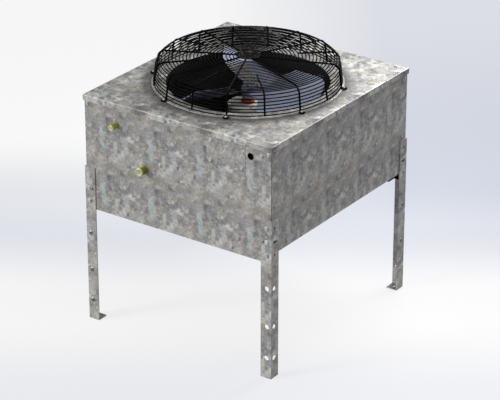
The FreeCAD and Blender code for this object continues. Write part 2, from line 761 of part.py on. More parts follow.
def make_guard():
    """Welded basket of rings and rods on eight feet, with a plate over the middle."""
    rod, wire = size("guard_rod_wire"), size("guard_ring_wire")
    pitch, wall_pitch = size("guard_ring_pitch"), size("guard_wall_pitch")
    line = guard_profile()
    split = line[-2]
    wall_parts, top_parts = guard_rods(line, split)
    height = line[0][1]
    while height < split[1] - wall_pitch / 2:
        wall_parts.append(hoop(point_along(line, height=height)[0], height, wire))
        height += wall_pitch
    for radius in (line[-3][0], (line[-3][0] + split[0]) / 2):
        wall_parts.append(hoop(radius, point_along(line, radius=radius)[1], wire))
    radius = split[0] - pitch / 2
    while radius > size("guard_centre_radius"):
        top_parts.append(hoop(radius, point_along(line, radius=radius)[1], wire))
        radius -= pitch
    guard_node(wall_parts[0].multiFuse(wall_parts[1:]), "guard_wall")
    guard_node(top_parts[0].multiFuse(top_parts[1:]), "guard_top")
    plate = polygon_face(size("guard_centre_radius"), size("guard_top_height") + rod / 2, RING_SIDES)
    guard_node(plate.extrude(FreeCAD.Vector(0, 0, size("guard_centre_gauge"))), "guard_centre_plate")
    foot = polygon_face(size("guard_foot_radius"), 0, FOOT_SIDES, line[0][0] + size("guard_foot_reach"))
    pad = foot.extrude(FreeCAD.Vector(0, 0, size("guard_foot_height")))
    step = 360 / ROD_COUNT
    guard_node(Part.makeCompound([turned_about_z(pad, step * k) for k in range(1, ROD_COUNT, 2)]), "guard_feet")


def write_nodes():
    """Check every object and write one file for each piece."""
    doc.recompute()
    for item in doc.Objects:
        if "Invalid" in item.State or "Error" in item.State:
            raise RuntimeError("%s failed: %s" % (item.Name, item.State))
    for item in nodes:
        if item.Shape.isNull() or not item.Shape.isValid():
            raise RuntimeError("%s has no valid shape" % item.Label)
    os.makedirs("parts", exist_ok=True)
    for item in nodes:
        item.Shape.exportStep("parts/%s.step" % item.Label)
        print("%-22s solids %d volume %.0f" % (item.Label, len(item.Shape.Solids), item.Shape.Volume))


make_top_cover()
make_fan_collar()
make_end_panel("front", ENDS["front"], front_holes())
make_end_panel("back", ENDS["back"], [])
for side, sign in SIDES.items():
    make_side_panel(side, sign)
for end, end_sign in ENDS.items():
    for side, side_sign in SIDES.items():
        make_leg("leg_%s_%s" % (end, side), side_sign, end_sign)
make_junction_cover()
make_coil()
make_coupling("large")
make_coupling("small")
make_line("large", "gas_line")
make_line("small", "liquid_line")
make_motor_bracket()
make_motor()
make_shaft()
make_fan()
make_guard()
write_nodes()
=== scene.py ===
"""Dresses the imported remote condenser: steel cabinet on angle legs, wire guard, fan, coil and couplings."""
import logging
import math
from dataclasses import dataclass
from enum import Enum
from typing import Optional, Sequence, Union

import bmesh
import bpy
import numpy as np
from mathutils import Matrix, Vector


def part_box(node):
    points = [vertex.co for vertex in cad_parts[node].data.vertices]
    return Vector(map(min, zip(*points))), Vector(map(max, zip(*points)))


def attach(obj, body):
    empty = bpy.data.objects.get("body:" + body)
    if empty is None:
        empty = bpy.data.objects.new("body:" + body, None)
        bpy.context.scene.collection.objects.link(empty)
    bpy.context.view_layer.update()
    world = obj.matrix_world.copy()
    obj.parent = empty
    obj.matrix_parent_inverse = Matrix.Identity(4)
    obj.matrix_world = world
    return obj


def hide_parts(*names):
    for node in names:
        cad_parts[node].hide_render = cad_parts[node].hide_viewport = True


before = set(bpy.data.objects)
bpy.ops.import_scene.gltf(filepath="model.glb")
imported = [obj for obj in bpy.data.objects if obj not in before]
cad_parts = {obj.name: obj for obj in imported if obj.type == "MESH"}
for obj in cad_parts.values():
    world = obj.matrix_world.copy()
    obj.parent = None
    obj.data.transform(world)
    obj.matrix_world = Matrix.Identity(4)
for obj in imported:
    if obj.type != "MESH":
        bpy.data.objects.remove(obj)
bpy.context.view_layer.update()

Socket = bpy.types.NodeSocket
Value = Union[float, Sequence[float], Socket]

LOG = logging.getLogger("condenser")
MM = 0.001
WELD = 1e-7
SMOOTH_ANGLE = math.radians(32)
COVER_TOP = 765.0
HALF_WIDTH, HALF_DEPTH = 350.0, 377.0
PANEL_SIDE, PANEL_FRONT = 346.0, 373.0
PANEL_LOW = 389.0
OPENING = 253.0
SEAT_RADIUS = 297.0
LEG_EDGE_X, LEG_EDGE_Y, LEG_TOP = 311.6, 338.6, 526.0


class Body(Enum):
    """Which body of the frame a piece rides on."""

    HOUSING = "housing"
    ROTOR = "rotor"


class Axis(Enum):
    """Direction in which a fixing looks out of the surface that it is on."""

    FRONT = (0, -1, 0)
    BACK = (0, 1, 0)
    RIGHT = (1, 0, 0)
    LEFT = (-1, 0, 0)
    UP = (0, 0, 1)

    def frame(self) -> np.ndarray:
        """Rows are the fixing's own across, along and outward directions.

        Returns:
            The three directions.
        """
        out = np.array(self.value, float)
        across = np.array((1.0, 0.0, 0.0)) if abs(out[2]) > 0.5 else np.cross((0.0, 0.0, 1.0), out)
        return np.stack([across, np.cross(out, across), out])


class Nodes:
    """A node tree, with short calls that add one node each."""

    def __init__(self, owner: bpy.types.ID) -> None:
        """Starts from an empty tree.

        Args:
            owner: the material or world that the tree is part of.
        """
        owner.use_nodes = True
        self.owner, self.tree = owner, owner.node_tree
        self.tree.nodes.clear()

    def add(self, kind: str, values: Optional[dict] = None, **settings: object) -> bpy.types.Node:
        """Adds a node and joins its inputs.

        Args:
            kind: Blender's name of the node.
            values: what its inputs get, by name or number.
            settings: its own properties.

        Returns:
            The node.
        """
        made = self.tree.nodes.new(kind)
        for key, value in settings.items():
            setattr(made, key, value)
        for key, value in (values or {}).items():
            self.join(value, made.inputs[key])
        return made

    def join(self, source: Value, target: Socket) -> None:
        """Links a socket, or sets a plain value; a colour's three parts get a full alpha.

        Args:
            source: a socket or a plain value.
            target: the input that takes it.
        """
        if isinstance(source, bpy.types.NodeSocket):
            self.tree.links.new(source, target)
        else:
            target.default_value = (*source, 1) if target.type == "RGBA" else source

    def math(self, operation: str, first: Value, second: Value = 0.0) -> Socket:
        """One Math node; returns its result."""
        return self.add("ShaderNodeMath", {0: first, 1: second}, operation=operation).outputs[0]

    def plus(self, first: Value, second: Value) -> Socket:
        """Sum of two values."""
        return self.math("ADD", first, second)

    def minus(self, first: Value, second: Value) -> Socket:
        """Difference of two values."""
        return self.math("SUBTRACT", first, second)

    def split(self, vector: Value) -> tuple:
        """The three parts of a vector."""
        return tuple(self.add("ShaderNodeSeparateXYZ", {0: vector}).outputs)

    def vector(self, x: Value = 0.0, y: Value = 0.0, z: Value = 0.0) -> Socket:
        """A vector of three parts."""
        return self.add("ShaderNodeCombineXYZ", {0: x, 1: y, 2: z}).outputs[0]

    def stretch(self, vector: Value, scale: Sequence[float]) -> Socket:
        """A vector with its parts scaled."""
        return self.add("ShaderNodeMapping", {"Vector": vector, "Scale": scale}).outputs[0]

    def noise(self, vector: Value, scale: float, detail: float = 2.0, rough: float = 0.55,
              colour: bool = False, fourth: Optional[Socket] = None, twist: float = 0.0) -> Socket:
        """Cloudy noise over a place.

        Args:
            vector: the place.
            scale: features in a metre.
            detail: layers of noise.
            rough: share of the finer layers.
            colour: give three parts and not one.
            fourth: fourth part of the place.
            twist: how far the noise bends itself.

        Returns:
            The noise.
        """
        values = {"Vector": vector, "Scale": scale, "Detail": detail, "Roughness": rough, "Distortion": twist}
        if fourth is not None:
            values["W"] = fourth
        made = self.add("ShaderNodeTexNoise", values, noise_dimensions="3D" if fourth is None else "4D")
        return made.outputs["Color" if colour else "Fac"]

    def cells(self, vector: Value, scale: float, fourth: Value) -> tuple:
        """Patches with straight edges over a place of four parts.

        Args:
            vector: three parts of the place.
            scale: patches in a metre.
            fourth: fourth part of the place.

        Returns:
            Three random numbers of each patch.
        """
        made = self.add("ShaderNodeTexVoronoi", {"Vector": vector, "W": fourth, "Scale": scale},
                        voronoi_dimensions="4D")
        return self.split(made.outputs["Color"])

    def bent(self, vector: Value, by: Value, reach: float) -> Socket:
        """A vector moved about by a noise colour: vector + (colour - 0.5) x reach.

        Args:
            vector: the vector.
            by: the noise colour.
            reach: length of the whole move.

        Returns:
            The moved vector.
        """
        centred = self.add("ShaderNodeVectorMath", {0: by, 1: (0.5, 0.5, 0.5)}, operation="SUBTRACT")
        values = {0: centred.outputs[0], 1: (reach, reach, reach), 2: vector}
        return self.add("ShaderNodeVectorMath", values, operation="MULTIPLY_ADD").outputs[0]

    def blend(self, factor: Value, first: Value, second: Value) -> Socket:
        """First value at factor 0, second at 1."""
        return self.add("ShaderNodeMix", {0: factor, 2: first, 3: second}, data_type="FLOAT").outputs[0]

    def ramp(self, factor: Value, stops: Sequence[tuple], smooth: bool = True) -> Socket:
        """Colour ramp.

        Args:
            factor: place on the ramp, 0 to 1.
            stops: each (place, (r, g, b)), 0 to 255.
            smooth: ease from stop to stop.

        Returns:
            The colour.
        """
        made = self.add("ShaderNodeValToRGB", {"Fac": factor})
        band = made.color_ramp
        band.interpolation = "EASE" if smooth else "LINEAR"
        for stop, (at, colour) in zip(band.elements, (stops[0], stops[-1])):
            stop.position, stop.color = at, (*srgb(*colour), 1)
        for at, colour in stops[1:-1]:
            band.elements.new(at).color = (*srgb(*colour), 1)
        return made.outputs["Color"]

    def span(self, value: Value, low: float, high: float, to_low: float = 0.0,
             to_high: float = 1.0) -> Socket:
        """Value moved from one range to another and held inside it."""
        values = {"Value": value, "From Min": low, "From Max": high, "To Min": to_low, "To Max": to_high}
        return self.add("ShaderNodeMapRange", values, clamp=True).outputs["Result"]

    def mix(self, factor: Value, first: Value, second: Value, blend: str = "MIX") -> Socket:
        """Two colours mixed by a factor."""
        values = {0: factor, 6: first, 7: second}
        return self.add("ShaderNodeMix", values, data_type="RGBA", blend_type=blend).outputs[2]

    def above(self, value: Value, at: float, soft: float = 0.2 * MM) -> Socket:
        """1 where the value is over a number, 0 under it."""
        return self.span(value, at - soft, at + soft)

    def within(self, *limits: tuple) -> Socket:
        """1 where each place, given with its limit in millimetres, is under that limit."""
        return self.times(*[self.math("LESS_THAN", value, limit * MM) for value, limit in limits])

    def times(self, *masks: Value) -> Socket:
        """Product of masks or numbers.

        Args:
            masks: two or more values.

        Returns:
            Their product.
        """
        total = masks[0]
        for mask in masks[1:]:
            total = self.math("MULTIPLY", total, mask)
        return total

    def any_of(self, *masks: Value) -> Socket:
        """Largest of masks.

        Args:
            masks: two or more values.

        Returns:
            The largest.
        """
        total = masks[0]
        for mask in masks[1:]:
            total = self.math("MAXIMUM", total, mask)
        return total


class Board(Nodes):
    """A material with a Principled shader over Object coordinates."""

    def __init__(self, name: str) -> None:
        """Makes the material.

        Args:
            name: the material's name.
        """
        super().__init__(bpy.data.materials.new(name))
        self.shader = self.add("ShaderNodeBsdfPrincipled")
        self.add("ShaderNodeOutputMaterial", {"Surface": self.shader.outputs["BSDF"]})
        where = self.add("ShaderNodeTexCoord").outputs
        self.place, self.facing = where["Object"], where["Normal"]

    def bump(self, height: Value, strength: float, distance: float) -> None:
        """Bumps the shader's normal by a height."""
        made = self.add("ShaderNodeBump", {"Height": height, "Strength": strength, "Distance": distance})
        self.join(made.outputs["Normal"], self.shader.inputs["Normal"])

    def set(self, **values: Value) -> None:
        """Sets or links the shader's sockets by name, with _ for a space."""
        for key, value in values.items():
            self.join(value, self.shader.inputs[key.replace("_", " ")])


def srgb(red: float, green: float, blue: float) -> tuple:
    """Linear colour of 0 to 255 screen values: below 10 a straight part, above it a power of 2.4.

    Args:
        red: red part, 0 to 255.
        green: green part.
        blue: blue part.

    Returns:
        The three linear parts.
    """
    parts = np.array((red, green, blue), float) / 255
    linear = np.where(parts <= 0.04045, parts / 12.92, ((parts + 0.055) / 1.055) ** 2.4)
    return tuple(float(part) for part in linear)


@dataclass(frozen=True)
class Galvanised:
    """Hot dipped zinc: soft spangle patches, pale runs down each sheet and dull grain, with painted light and
    shade in set places.
    """

    name: str
    tile: tuple = (183.0, 191.0)
    run_place: tuple = (-279.0, 640.0)
    run_reach: tuple = (11.0, 34.0)
    level: tuple = (0.0, 0.0, 0.0)
    grain: float = 1.0
    contrast: float = 1.2
    runs: float = 1.0
    shares: tuple = (0.29, 0.18, 1.25, 1.0, 0.25)
    tones: tuple = ((0.0, (92, 91, 93)), (0.3, (130, 128, 127)), (0.5, (153, 151, 147)),
                    (0.7, (177, 176, 171)), (1.0, (214, 213, 206)))
    tints: tuple = ((1, 0.70, 0.34, (180, 168, 152)), (2, 0.66, 0.42, (134, 140, 152)))
    run_tone: tuple = (190, 199, 199)
    flat: bool = False
    # Panels only: painted shade on the inner faces, and on sheet hidden behind a leg.
    inside: bool = False
    # Cover only: a painted highlight along the top edges, a painted shadow round the guard's seat and painted
    # shade under the cover.
    painted_cover_light: bool = False

    def material(self) -> bpy.types.Material:
        """Builds the node tree and returns the material.

        Each way along the sheet is wound round a circle of its tile's length, so that patterns over the
        four parts of the two circles repeat from tile to tile without a seam.

        Returns:
            The material.
        """
        b = Board(self.name)
        x, y, z = b.split(b.place)
        across, up = self.sheet_place(b, x, y, z)
        wound = []
        for part, size in zip((across, up), self.tile):
            turn = b.times(part, 2 * math.pi / (size * MM))
            wound += [b.times(b.math(way, turn), size * MM / (2 * math.pi)) for way in ("COSINE", "SINE")]
        place, fourth = b.vector(*wound[:3]), wound[3]
        warp = b.noise(place, 60 * self.grain, 3.0, 0.6, colour=True, fourth=fourth)
        moved = b.bent(place, warp, 0.050 / self.grain)
        crystal = b.cells(moved, 46 * self.grain, fourth)
        chip = b.cells(moved, 88 * self.grain, fourth)
        cloud = b.noise(place, 15 * self.grain, 4.0, 0.66, fourth=fourth, twist=0.6)
        fleck = b.noise(place, 62 * self.grain, 4.0, 0.68, fourth=fourth, twist=0.9)
        speck = b.noise(b.place, 260, 2.0, 0.6)
        run = self.run_mask(b, across, up)
        value = b.times(run, 0.20 * self.runs)
        for layer, share in zip((crystal[0], chip[0], cloud, fleck, speck), self.shares):
            centred = b.minus(layer, 0.5)
            value = b.plus(value, b.times(centred, share * self.contrast))
        base = b.ramp(b.span(value, -0.5, 0.5), self.tones, smooth=False)
        for part, at, share, tone in self.tints:
            mask = b.times(b.above(crystal[part], at, 0.06), share)
            base = b.mix(mask, base, b.mix(0.7, base, srgb(*tone)))
        base = b.mix(b.times(run, 0.75 * self.runs), base, b.mix(0.65, base, srgb(*self.run_tone)))
        base = b.mix(1.0, base, tuple(1.0 + part for part in self.level), "MULTIPLY")
        for mask, colour in self.marks(b, x, y, z):
            base = b.mix(mask, base, colour)
        b.set(Base_Color=base, Roughness=b.span(fleck, 0.3, 0.7, 0.42, 0.58), Metallic=0.3)
        b.bump(b.plus(fleck, b.times(speck, 0.5)), 0.08, 0.4 * MM)
        return b.owner

    def sheet_place(self, b: Board, x: Socket, y: Socket, z: Socket) -> tuple:
        """Place of a point on its own sheet, chosen by the way that the sheet faces.

        Args:
            b: the material's board.
            x: place along X.
            y: place along Y.
            z: place along Z.

        Returns:
            Place across, X or Y, and place up, which is Z, or Y on a flat sheet.
        """
        if self.flat:
            return x, y
        facing = b.split(b.facing)
        sideways = b.math("GREATER_THAN", b.math("ABSOLUTE", facing[0]), 0.7)
        level = b.math("GREATER_THAN", b.math("ABSOLUTE", facing[2]), 0.7)
        return b.blend(sideways, x, y), b.blend(level, z, y)

    def run_mask(self, b: Board, across: Socket, up: Socket) -> Socket:
        """Pale upright runs, one in each tile of the sheet: a ragged oval that repeats across and up.

        Args:
            b: the material's board.
            across: place across the sheet.
            up: place up the sheet.

        Returns:
            1 on a run and 0 beside it.
        """
        jog = b.minus(b.noise(b.vector(across, 0.0, up), 42, 4.0, 0.75), 0.5)
        jog = b.times(jog, 0.080)
        parts = []
        for value, start, tile, reach in zip((across, up), self.run_place, self.tile, self.run_reach):
            local = b.minus(b.plus(value, jog), start * MM)
            local = b.math("DIVIDE", local, tile * MM)
            local = b.minus(local, b.math("ROUND", local))
            gap = b.math("ABSOLUTE", b.times(local, tile * MM))
            parts.append(b.span(gap, reach * 0.6 * MM, reach * 1.5 * MM, 1.0, 0.0))
        return b.times(*parts)

    def marks(self, b: Board, x: Socket, y: Socket, z: Socket) -> list:
        """Painted light and shade in set places: a highlight on the cover's top edges, a shadow round the
        guard's seat, and shade under the cover, on the panels' inner faces and behind the legs.

        Args:
            b: the material's board.
            x: place along X.
            y: place along Y.
            z: place along Z.

        Returns:
            Pairs of mask and colour, to be mixed in turn.
        """
        wide, deep = b.math("ABSOLUTE", x), b.math("ABSOLUTE", y)
        made = []
        if self.painted_cover_light:
            skin = COVER_TOP - 0.8
            top = b.above(z, skin * MM, 0.3 * MM)
            # Painted highlight: a bright line along the cover's top edges, where the fold catches the light.
            edges = [b.above(part, (half - 1.1) * MM, 0.4 * MM)
                     for part, half in ((wide, HALF_WIDTH), (deep, HALF_DEPTH))]
            made.append((b.times(b.times(b.any_of(*edges), top), 0.95), srgb(240, 240, 238)))
            # Painted shadow: a dark ring round the guard's seat, fading out over 41 mm, stands in for the
            # guard's shadow on the cover.
            radius = b.math("SQRT", b.plus(b.times(x, x), b.times(y, y)))
            outside = b.above(radius, (SEAT_RADIUS + 0.3) * MM, 0.3 * MM)
            seat_shadow_fade = b.span(radius, SEAT_RADIUS * MM, (SEAT_RADIUS + 41) * MM, 0.88, 0.0)
            made.append((b.times(outside, seat_shadow_fade, top), srgb(70, 69, 67)))
            # Painted shade: the cover's underside and the inside of its lip are darkened.
            under = b.within((z, skin), (wide, HALF_WIDTH - 1), (deep, HALF_DEPTH - 1))
            made.append((under, srgb(70, 70, 72)))
        if self.inside:
            # Painted shade: the panels' inner faces are darkened, where little light reaches inside the
            # cabinet.
            ends = b.within((wide, PANEL_SIDE - 2.0), (deep, PANEL_FRONT - 0.6))
            sides = b.within((wide, PANEL_SIDE - 0.6), (deep, PANEL_FRONT - 3.6))
            tall = b.times(b.above(z, PANEL_LOW * MM), b.within((z, COVER_TOP - 1)))
            made.append((b.times(b.any_of(ends, sides), tall), srgb(118, 118, 120)))
            # Painted shade: sheet hidden behind a leg is near black, where it shows through the leg's holes
            # and past its edges.
            leg = b.times(b.above(wide, LEG_EDGE_X * MM), b.above(deep, LEG_EDGE_Y * MM),
                          b.within((z, LEG_TOP), (deep, HALF_DEPTH - 2)))
            made.append((leg, srgb(26, 26, 27)))
        return made


@dataclass(frozen=True)
class Coat:
    """Paint, powder coat or plastic: one colour with uneven patches, dust and a fine orange peel."""

    name: str
    colour: tuple
    patch: tuple
    rough: float = 0.4
    grain: float = 260.0
    wear: float = 0.5
    metallic: float = 0.0
    gloss: float = 0.5

    def material(self) -> bpy.types.Material:
        """Builds the node tree and returns the material.

        Returns:
            The material.
        """
        b = Board(self.name)
        cloud = b.noise(b.place, 30, 4.0, 0.6)
        peel = b.noise(b.place, self.grain, 2.0)
        mask = b.times(b.span(cloud, 0.42, 0.66), self.wear)
        base = b.mix(mask, srgb(*self.colour), srgb(*self.patch))
        b.set(Base_Color=base, Metallic=self.metallic, Specular_IOR_Level=self.gloss,
              Roughness=b.span(peel, 0.3, 0.7, max(self.rough - 0.07, 0.05), self.rough + 0.09))
        b.bump(peel, 0.12, 0.3 * MM)
        return b.owner


@dataclass(frozen=True)
class Blotched:
    """Black plate with sharp pale blotches worn through it."""

    name: str
    colour: tuple
    blotch: tuple

    def material(self) -> bpy.types.Material:
        """Builds the node tree and returns the material.

        Returns:
            The material.
        """
        b = Board(self.name)
        shape = b.noise(b.place, 52, 2.0, 0.45, twist=1.6)
        grain = b.noise(b.place, 300, 2.0)
        mask = b.times(b.span(shape, 0.575, 0.605), b.span(grain, 0.2, 0.6, 0.6, 1.0))
        base = b.mix(mask, srgb(*self.colour), srgb(*self.blotch))
        b.set(Base_Color=base, Roughness=b.span(grain, 0.3, 0.7, 0.50, 0.65),
              Specular_IOR_Level=0.02)
        b.bump(grain, 0.1, 0.3 * MM)
        return b.owner


@dataclass(frozen=True)
class BareMetal:
    """Uncoated metal: brushed along one way, with duller and stained patches."""

    name: str
    colour: tuple
    stain: tuple
    rough: float = 0.32
    brush: tuple = (30.0, 420.0, 30.0)
    metallic: float = 0.85

    def material(self) -> bpy.types.Material:
        """Builds the node tree and returns the material.

        Returns:
            The material.
        """
        b = Board(self.name)
        lines = b.noise(b.stretch(b.place, self.brush), 1.0, 3.0, 0.6)
        cloud = b.noise(b.place, 22, 3.0, 0.6)
        stain = srgb(*self.stain)
        base = b.mix(b.span(cloud, 0.40, 0.70), srgb(*self.colour), stain)
        base = b.mix(b.span(lines, 0.35, 0.75, 0.0, 0.35), base, stain)
        b.set(Base_Color=base, Metallic=self.metallic,
              Roughness=b.span(lines, 0.3, 0.7, self.rough - 0.05, self.rough + 0.10))
        b.bump(lines, 0.06, 0.2 * MM)
        return b.owner


@dataclass(frozen=True)
class CoilStock:
    """Fin stock: its own bright colour below, and painted shade on the part above, which faces the dark
    cabinet.
    """

    name: str = "fin_stock"

    def material(self) -> bpy.types.Material:
        """Builds the node tree and returns the material.

        Returns:
            The material.
        """
        b = Board(self.name)
        _, _, z = b.split(b.place)
        cloud = b.noise(b.place, 18, 4.0, 0.6)
        base = b.mix(b.span(cloud, 0.4, 0.65), srgb(178, 180, 182), srgb(120, 121, 122))
        # Painted shade: the fins' upper part, facing the dark cabinet, is darker.
        base = b.mix(b.above(z, 430 * MM, 20 * MM), base, srgb(112, 112, 115))
        b.set(Base_Color=base, Metallic=0.7, Roughness=b.span(cloud, 0.3, 0.7, 0.35, 0.55))
        return b.owner


class Finish(Enum):
    """The finishes of this condenser."""

    PANEL = Galvanised("galvanised_panel", level=(-0.03, -0.03, -0.025), inside=True)
    # The cover's level brightens it by about 4 %: painted light, lifting the whole top as the lamps'
    # highlight would.
    COVER = Galvanised("galvanised_cover", tile=(244.0, 224.0), run_place=(-300.0, -364.0),
                       level=(0.04, 0.04, 0.035), contrast=1.45, painted_cover_light=True)
    LEG = Galvanised("galvanised_leg", run_place=(-340.0, 300.0), runs=0.6)
    FINE = Galvanised("galvanised_fine", tile=(61.0, 63.7), grain=3.0, contrast=1.0, runs=0.0)
    PATCH = Galvanised("galvanised_patch", tile=(61.0, 63.7), level=(0.12, 0.12, 0.14), grain=3.0,
                       contrast=1.2, runs=0.0, flat=True)
    SHADED = Coat("shaded_sheet", (52, 52, 54), (70, 70, 72), rough=0.6)
    COLLAR = Coat("collar_black", (20, 20, 21), (28, 28, 29), rough=0.6, gloss=0.15)
    WIRE = Coat("wire_black", (7, 7, 7), (14, 14, 15), rough=0.5, gloss=0.02)
    BADGE = Blotched("plate_black", (9, 9, 9), (66, 64, 58))
    GASKET = Coat("gasket_black", (10, 10, 10), (20, 20, 20), rough=0.7, gloss=0.05)
    CREAM = Coat("motor_cream", (240, 239, 232), (220, 217, 206), rough=0.36)
    ORANGE = Coat("cap_orange", (200, 88, 46), (164, 66, 34), rough=0.42)
    BLADE = BareMetal("blade_aluminium", (166, 173, 196), (146, 153, 174), rough=0.50,
                      brush=(60.0, 260.0, 60.0), metallic=0.3)
    BRASS = BareMetal("brass", (218, 220, 122), (182, 182, 84), rough=0.34,
                      brush=(300.0, 40.0, 300.0), metallic=0.4)
    # Darker brass for the coupling bodies: painted shade on the part behind the bright mouth.
    BRASS_SHADE = BareMetal("brass_painted_shade", (164, 164, 76), (108, 107, 46), rough=0.40,
                      brush=(300.0, 40.0, 300.0), metallic=0.4)
    COPPER = BareMetal("copper", (196, 120, 84), (120, 78, 60), rough=0.34)
    ZINC = BareMetal("zinc_bright", (196, 197, 199), (160, 161, 163), rough=0.50, brush=(300.0, 300.0, 300.0),
                     metallic=0.3)
    STEEL = BareMetal("shaft_steel", (186, 187, 190), (140, 141, 144), rough=0.22)
    BORE_GREY = Coat("bore_grey", (238, 239, 242), (226, 227, 231), rough=0.4)
    FINS = CoilStock()


class FinishBook:
    """Makes each finish's material once."""

    def __init__(self) -> None:
        """Starts with no materials."""
        self.made: dict = {}

    def __getitem__(self, finish: Finish) -> bpy.types.Material:
        """The material of a finish.

        Args:
            finish: one of the finishes.

        Returns:
            Its material.
        """
        if finish not in self.made:
            self.made[finish] = finish.value.material()
        return self.made[finish]


class Surface:
    """Vertices and faces gathered from grids of points, in millimetres, for one mesh."""

    def __init__(self) -> None:
        """Starts empty."""
        self.points: list = []
        self.faces: list = []
        self.count = 0

    def grid(self, points: np.ndarray, close_rows: bool = False, close_columns: bool = False) -> None:
        """Adds a sheet of quads over a grid of points.

        Args:
            points: rows by columns by 3.
            close_rows: join the last row to the first.
            close_columns: join the last column to the first.
        """
        rows, columns = points.shape[:2]
        index = np.arange(rows * columns).reshape(rows, columns) + self.count
        if close_rows:
            index = np.vstack([index, index[:1]])
        if close_columns:
            index = np.hstack([index, index[:, :1]])
        quads = np.stack([index[:-1, :-1], index[:-1, 1:], index[1:, 1:], index[1:, :-1]], -1)
        self.points.append(points.reshape(-1, 3))
        self.faces.extend(quads.reshape(-1, 4).tolist())
        self.count += rows * columns

    def plate(self, low: np.ndarray, high: np.ndarray) -> None:
        """Adds a closed sheet between two grids of the same shape: both faces and the rim between them.

        Args:
            low: grid of the one face.
            high: grid of the other.
        """
        rim = [np.concatenate([g[0, :-1], g[:-1, -1], g[-1, :0:-1], g[:0:-1, 0]]) for g in (low, high)]
        self.grid(low)
        self.grid(high)
        self.grid(np.stack(rim), close_columns=True)

    def turn(self, profile: Sequence[tuple], segments: int, loop: bool = True, axis: Axis = Axis.UP,
             at: Sequence[float] = (0.0, 0.0, 0.0)) -> None:
        """Adds a profile of (radius, height) turned round an axis.

        Args:
            profile: corners of the outline.
            segments: points round the axis.
            loop: the outline's end joins its start; otherwise both lie on the axis.
            axis: direction of the axis.
            at: where the axis starts.
        """
        rings = turned(np.array(profile, float), segments) @ axis.frame() + np.array(at, float)
        self.grid(rings, close_rows=loop, close_columns=True)

    def boxes(self, low: np.ndarray, high: np.ndarray) -> None:
        """Adds a box for each row of lowest and highest corners.

        Args:
            low: lowest corners, one row for each box.
            high: highest corners.
        """
        pick = np.array([[i >> 2 & 1, i >> 1 & 1, i & 1] for i in range(8)])
        corners = np.where(pick[None], high[:, None], low[:, None])
        sides = np.array([[0, 1, 3, 2], [4, 6, 7, 5], [0, 4, 5, 1], [2, 3, 7, 6], [0, 2, 6, 4], [1, 5, 7, 3]])
        faces = sides[None] + 8 * np.arange(len(low))[:, None, None] + self.count
        self.points.append(corners.reshape(-1, 3))
        self.faces.extend(faces.reshape(-1, 4).tolist())
        self.count += 8 * len(low)

    def mesh(self, name: str) -> bpy.types.Mesh:
        """Welds the sheets where they meet, turns faces outwards and returns the mesh in metres.

        Args:
            name: the mesh's name.

        Returns:
            The mesh.
        """
        made = bpy.data.meshes.new(name)
        made.from_pydata((np.concatenate(self.points) * MM).tolist(), [], self.faces)
        work = bmesh.new()
        work.from_mesh(made)
        bmesh.ops.remove_doubles(work, verts=work.verts, dist=WELD)
        bmesh.ops.recalc_face_normals(work, faces=work.faces)
        work.to_mesh(made)
        work.free()
        return made


def turned(profile: np.ndarray, segments: int) -> np.ndarray:
    """Profile of (radius, height) carried round Z: the point at turn t is (r cos t, r sin t, height).

    Args:
        profile: rows of (radius, height).
        segments: points round the axis.

    Returns:
        Grid of points, profile by segments.
    """
    turn = np.linspace(0, 2 * np.pi, segments, endpoint=False)
    radius, height = profile[:, 0][:, None], profile[:, 1][:, None]
    return np.stack([radius * np.cos(turn), radius * np.sin(turn), height + 0 * turn], -1)


def tube(path: np.ndarray, radius: float, sides: int, across: Sequence[float],
         closed: bool = False) -> np.ndarray:
    """Round wire along a flat path.

    Each ring is path + radius (cos a N + sin a B), with B the flat path's normal and N square to both.

    Args:
        path: points of the centre line.
        radius: wire radius.
        sides: points round the wire.
        across: direction square to the plane of the path.
        closed: the path is a loop.

    Returns:
        Grid of points, path by sides.
    """
    ahead = np.roll(path, -1, 0) - np.roll(path, 1, 0) if closed else np.gradient(path, axis=0)
    ahead /= np.linalg.norm(ahead, axis=1)[:, None]
    flat = np.broadcast_to(np.array(across, float), path.shape)
    side = np.cross(ahead, flat)
    turn = np.linspace(0, 2 * np.pi, sides, endpoint=False)[None, :, None]
    return path[:, None] + radius * (np.cos(turn) * side[:, None] + np.sin(turn) * flat[:, None])


def capped(rings: np.ndarray) -> np.ndarray:
    """Rings of a tube closed at both ends by a ring that shrinks to its middle.

    Args:
        rings: grid of points, path by sides.

    Returns:
        The same grid with two more rings.
    """
    ends = [np.broadcast_to(ring.mean(1, keepdims=True), ring.shape) for ring in (rings[:1], rings[-1:])]
    return np.concatenate([ends[0], rings, ends[1]])


def rounded_line(corners: np.ndarray, radii: Sequence[float], steps: int = 6) -> np.ndarray:
    """Line through corners with an arc at each inner corner.

    The arc's ends lie radius x tan(half the turn) from the corner; points between them follow
    the circle by slerp of the two directions from its centre.

    Args:
        corners: points of the line.
        radii: radius at each inner corner.
        steps: runs in each arc.

    Returns:
        Points of the line.
    """
    parts = [corners[:1]]
    for before, corner, after, radius in zip(corners[:-2], corners[1:-1], corners[2:], radii):
        back, on = before - corner, after - corner
        back, on = back / np.linalg.norm(back), on / np.linalg.norm(on)
        half = 0.5 * np.arccos(np.clip(back @ on, -1, 1))
        reach = radius / np.tan(half)
        start, end = corner + back * reach, corner + on * reach
        middle = corner + (back + on) / np.linalg.norm(back + on) * radius / np.sin(half)
        sweep = np.pi - 2 * half
        share = np.linspace(0, 1, steps + 1)[:, None]
        first = np.sin((1 - share) * sweep) / np.sin(sweep)
        second = np.sin(share * sweep) / np.sin(sweep)
        parts.append(middle + first * (start - middle) + second * (end - middle))
    parts.append(corners[-1:])
    return np.concatenate(parts)


def around(points: np.ndarray, degrees: float) -> np.ndarray:
    """Points turned about Z.

    Args:
        points: points, in millimetres.
        degrees: angle of the turn.

    Returns:
        The turned points.
    """
    turn = math.radians(degrees)
    spin = np.array([[math.cos(turn), math.sin(turn), 0], [-math.sin(turn), math.cos(turn), 0], [0, 0, 1]])
    return points @ spin


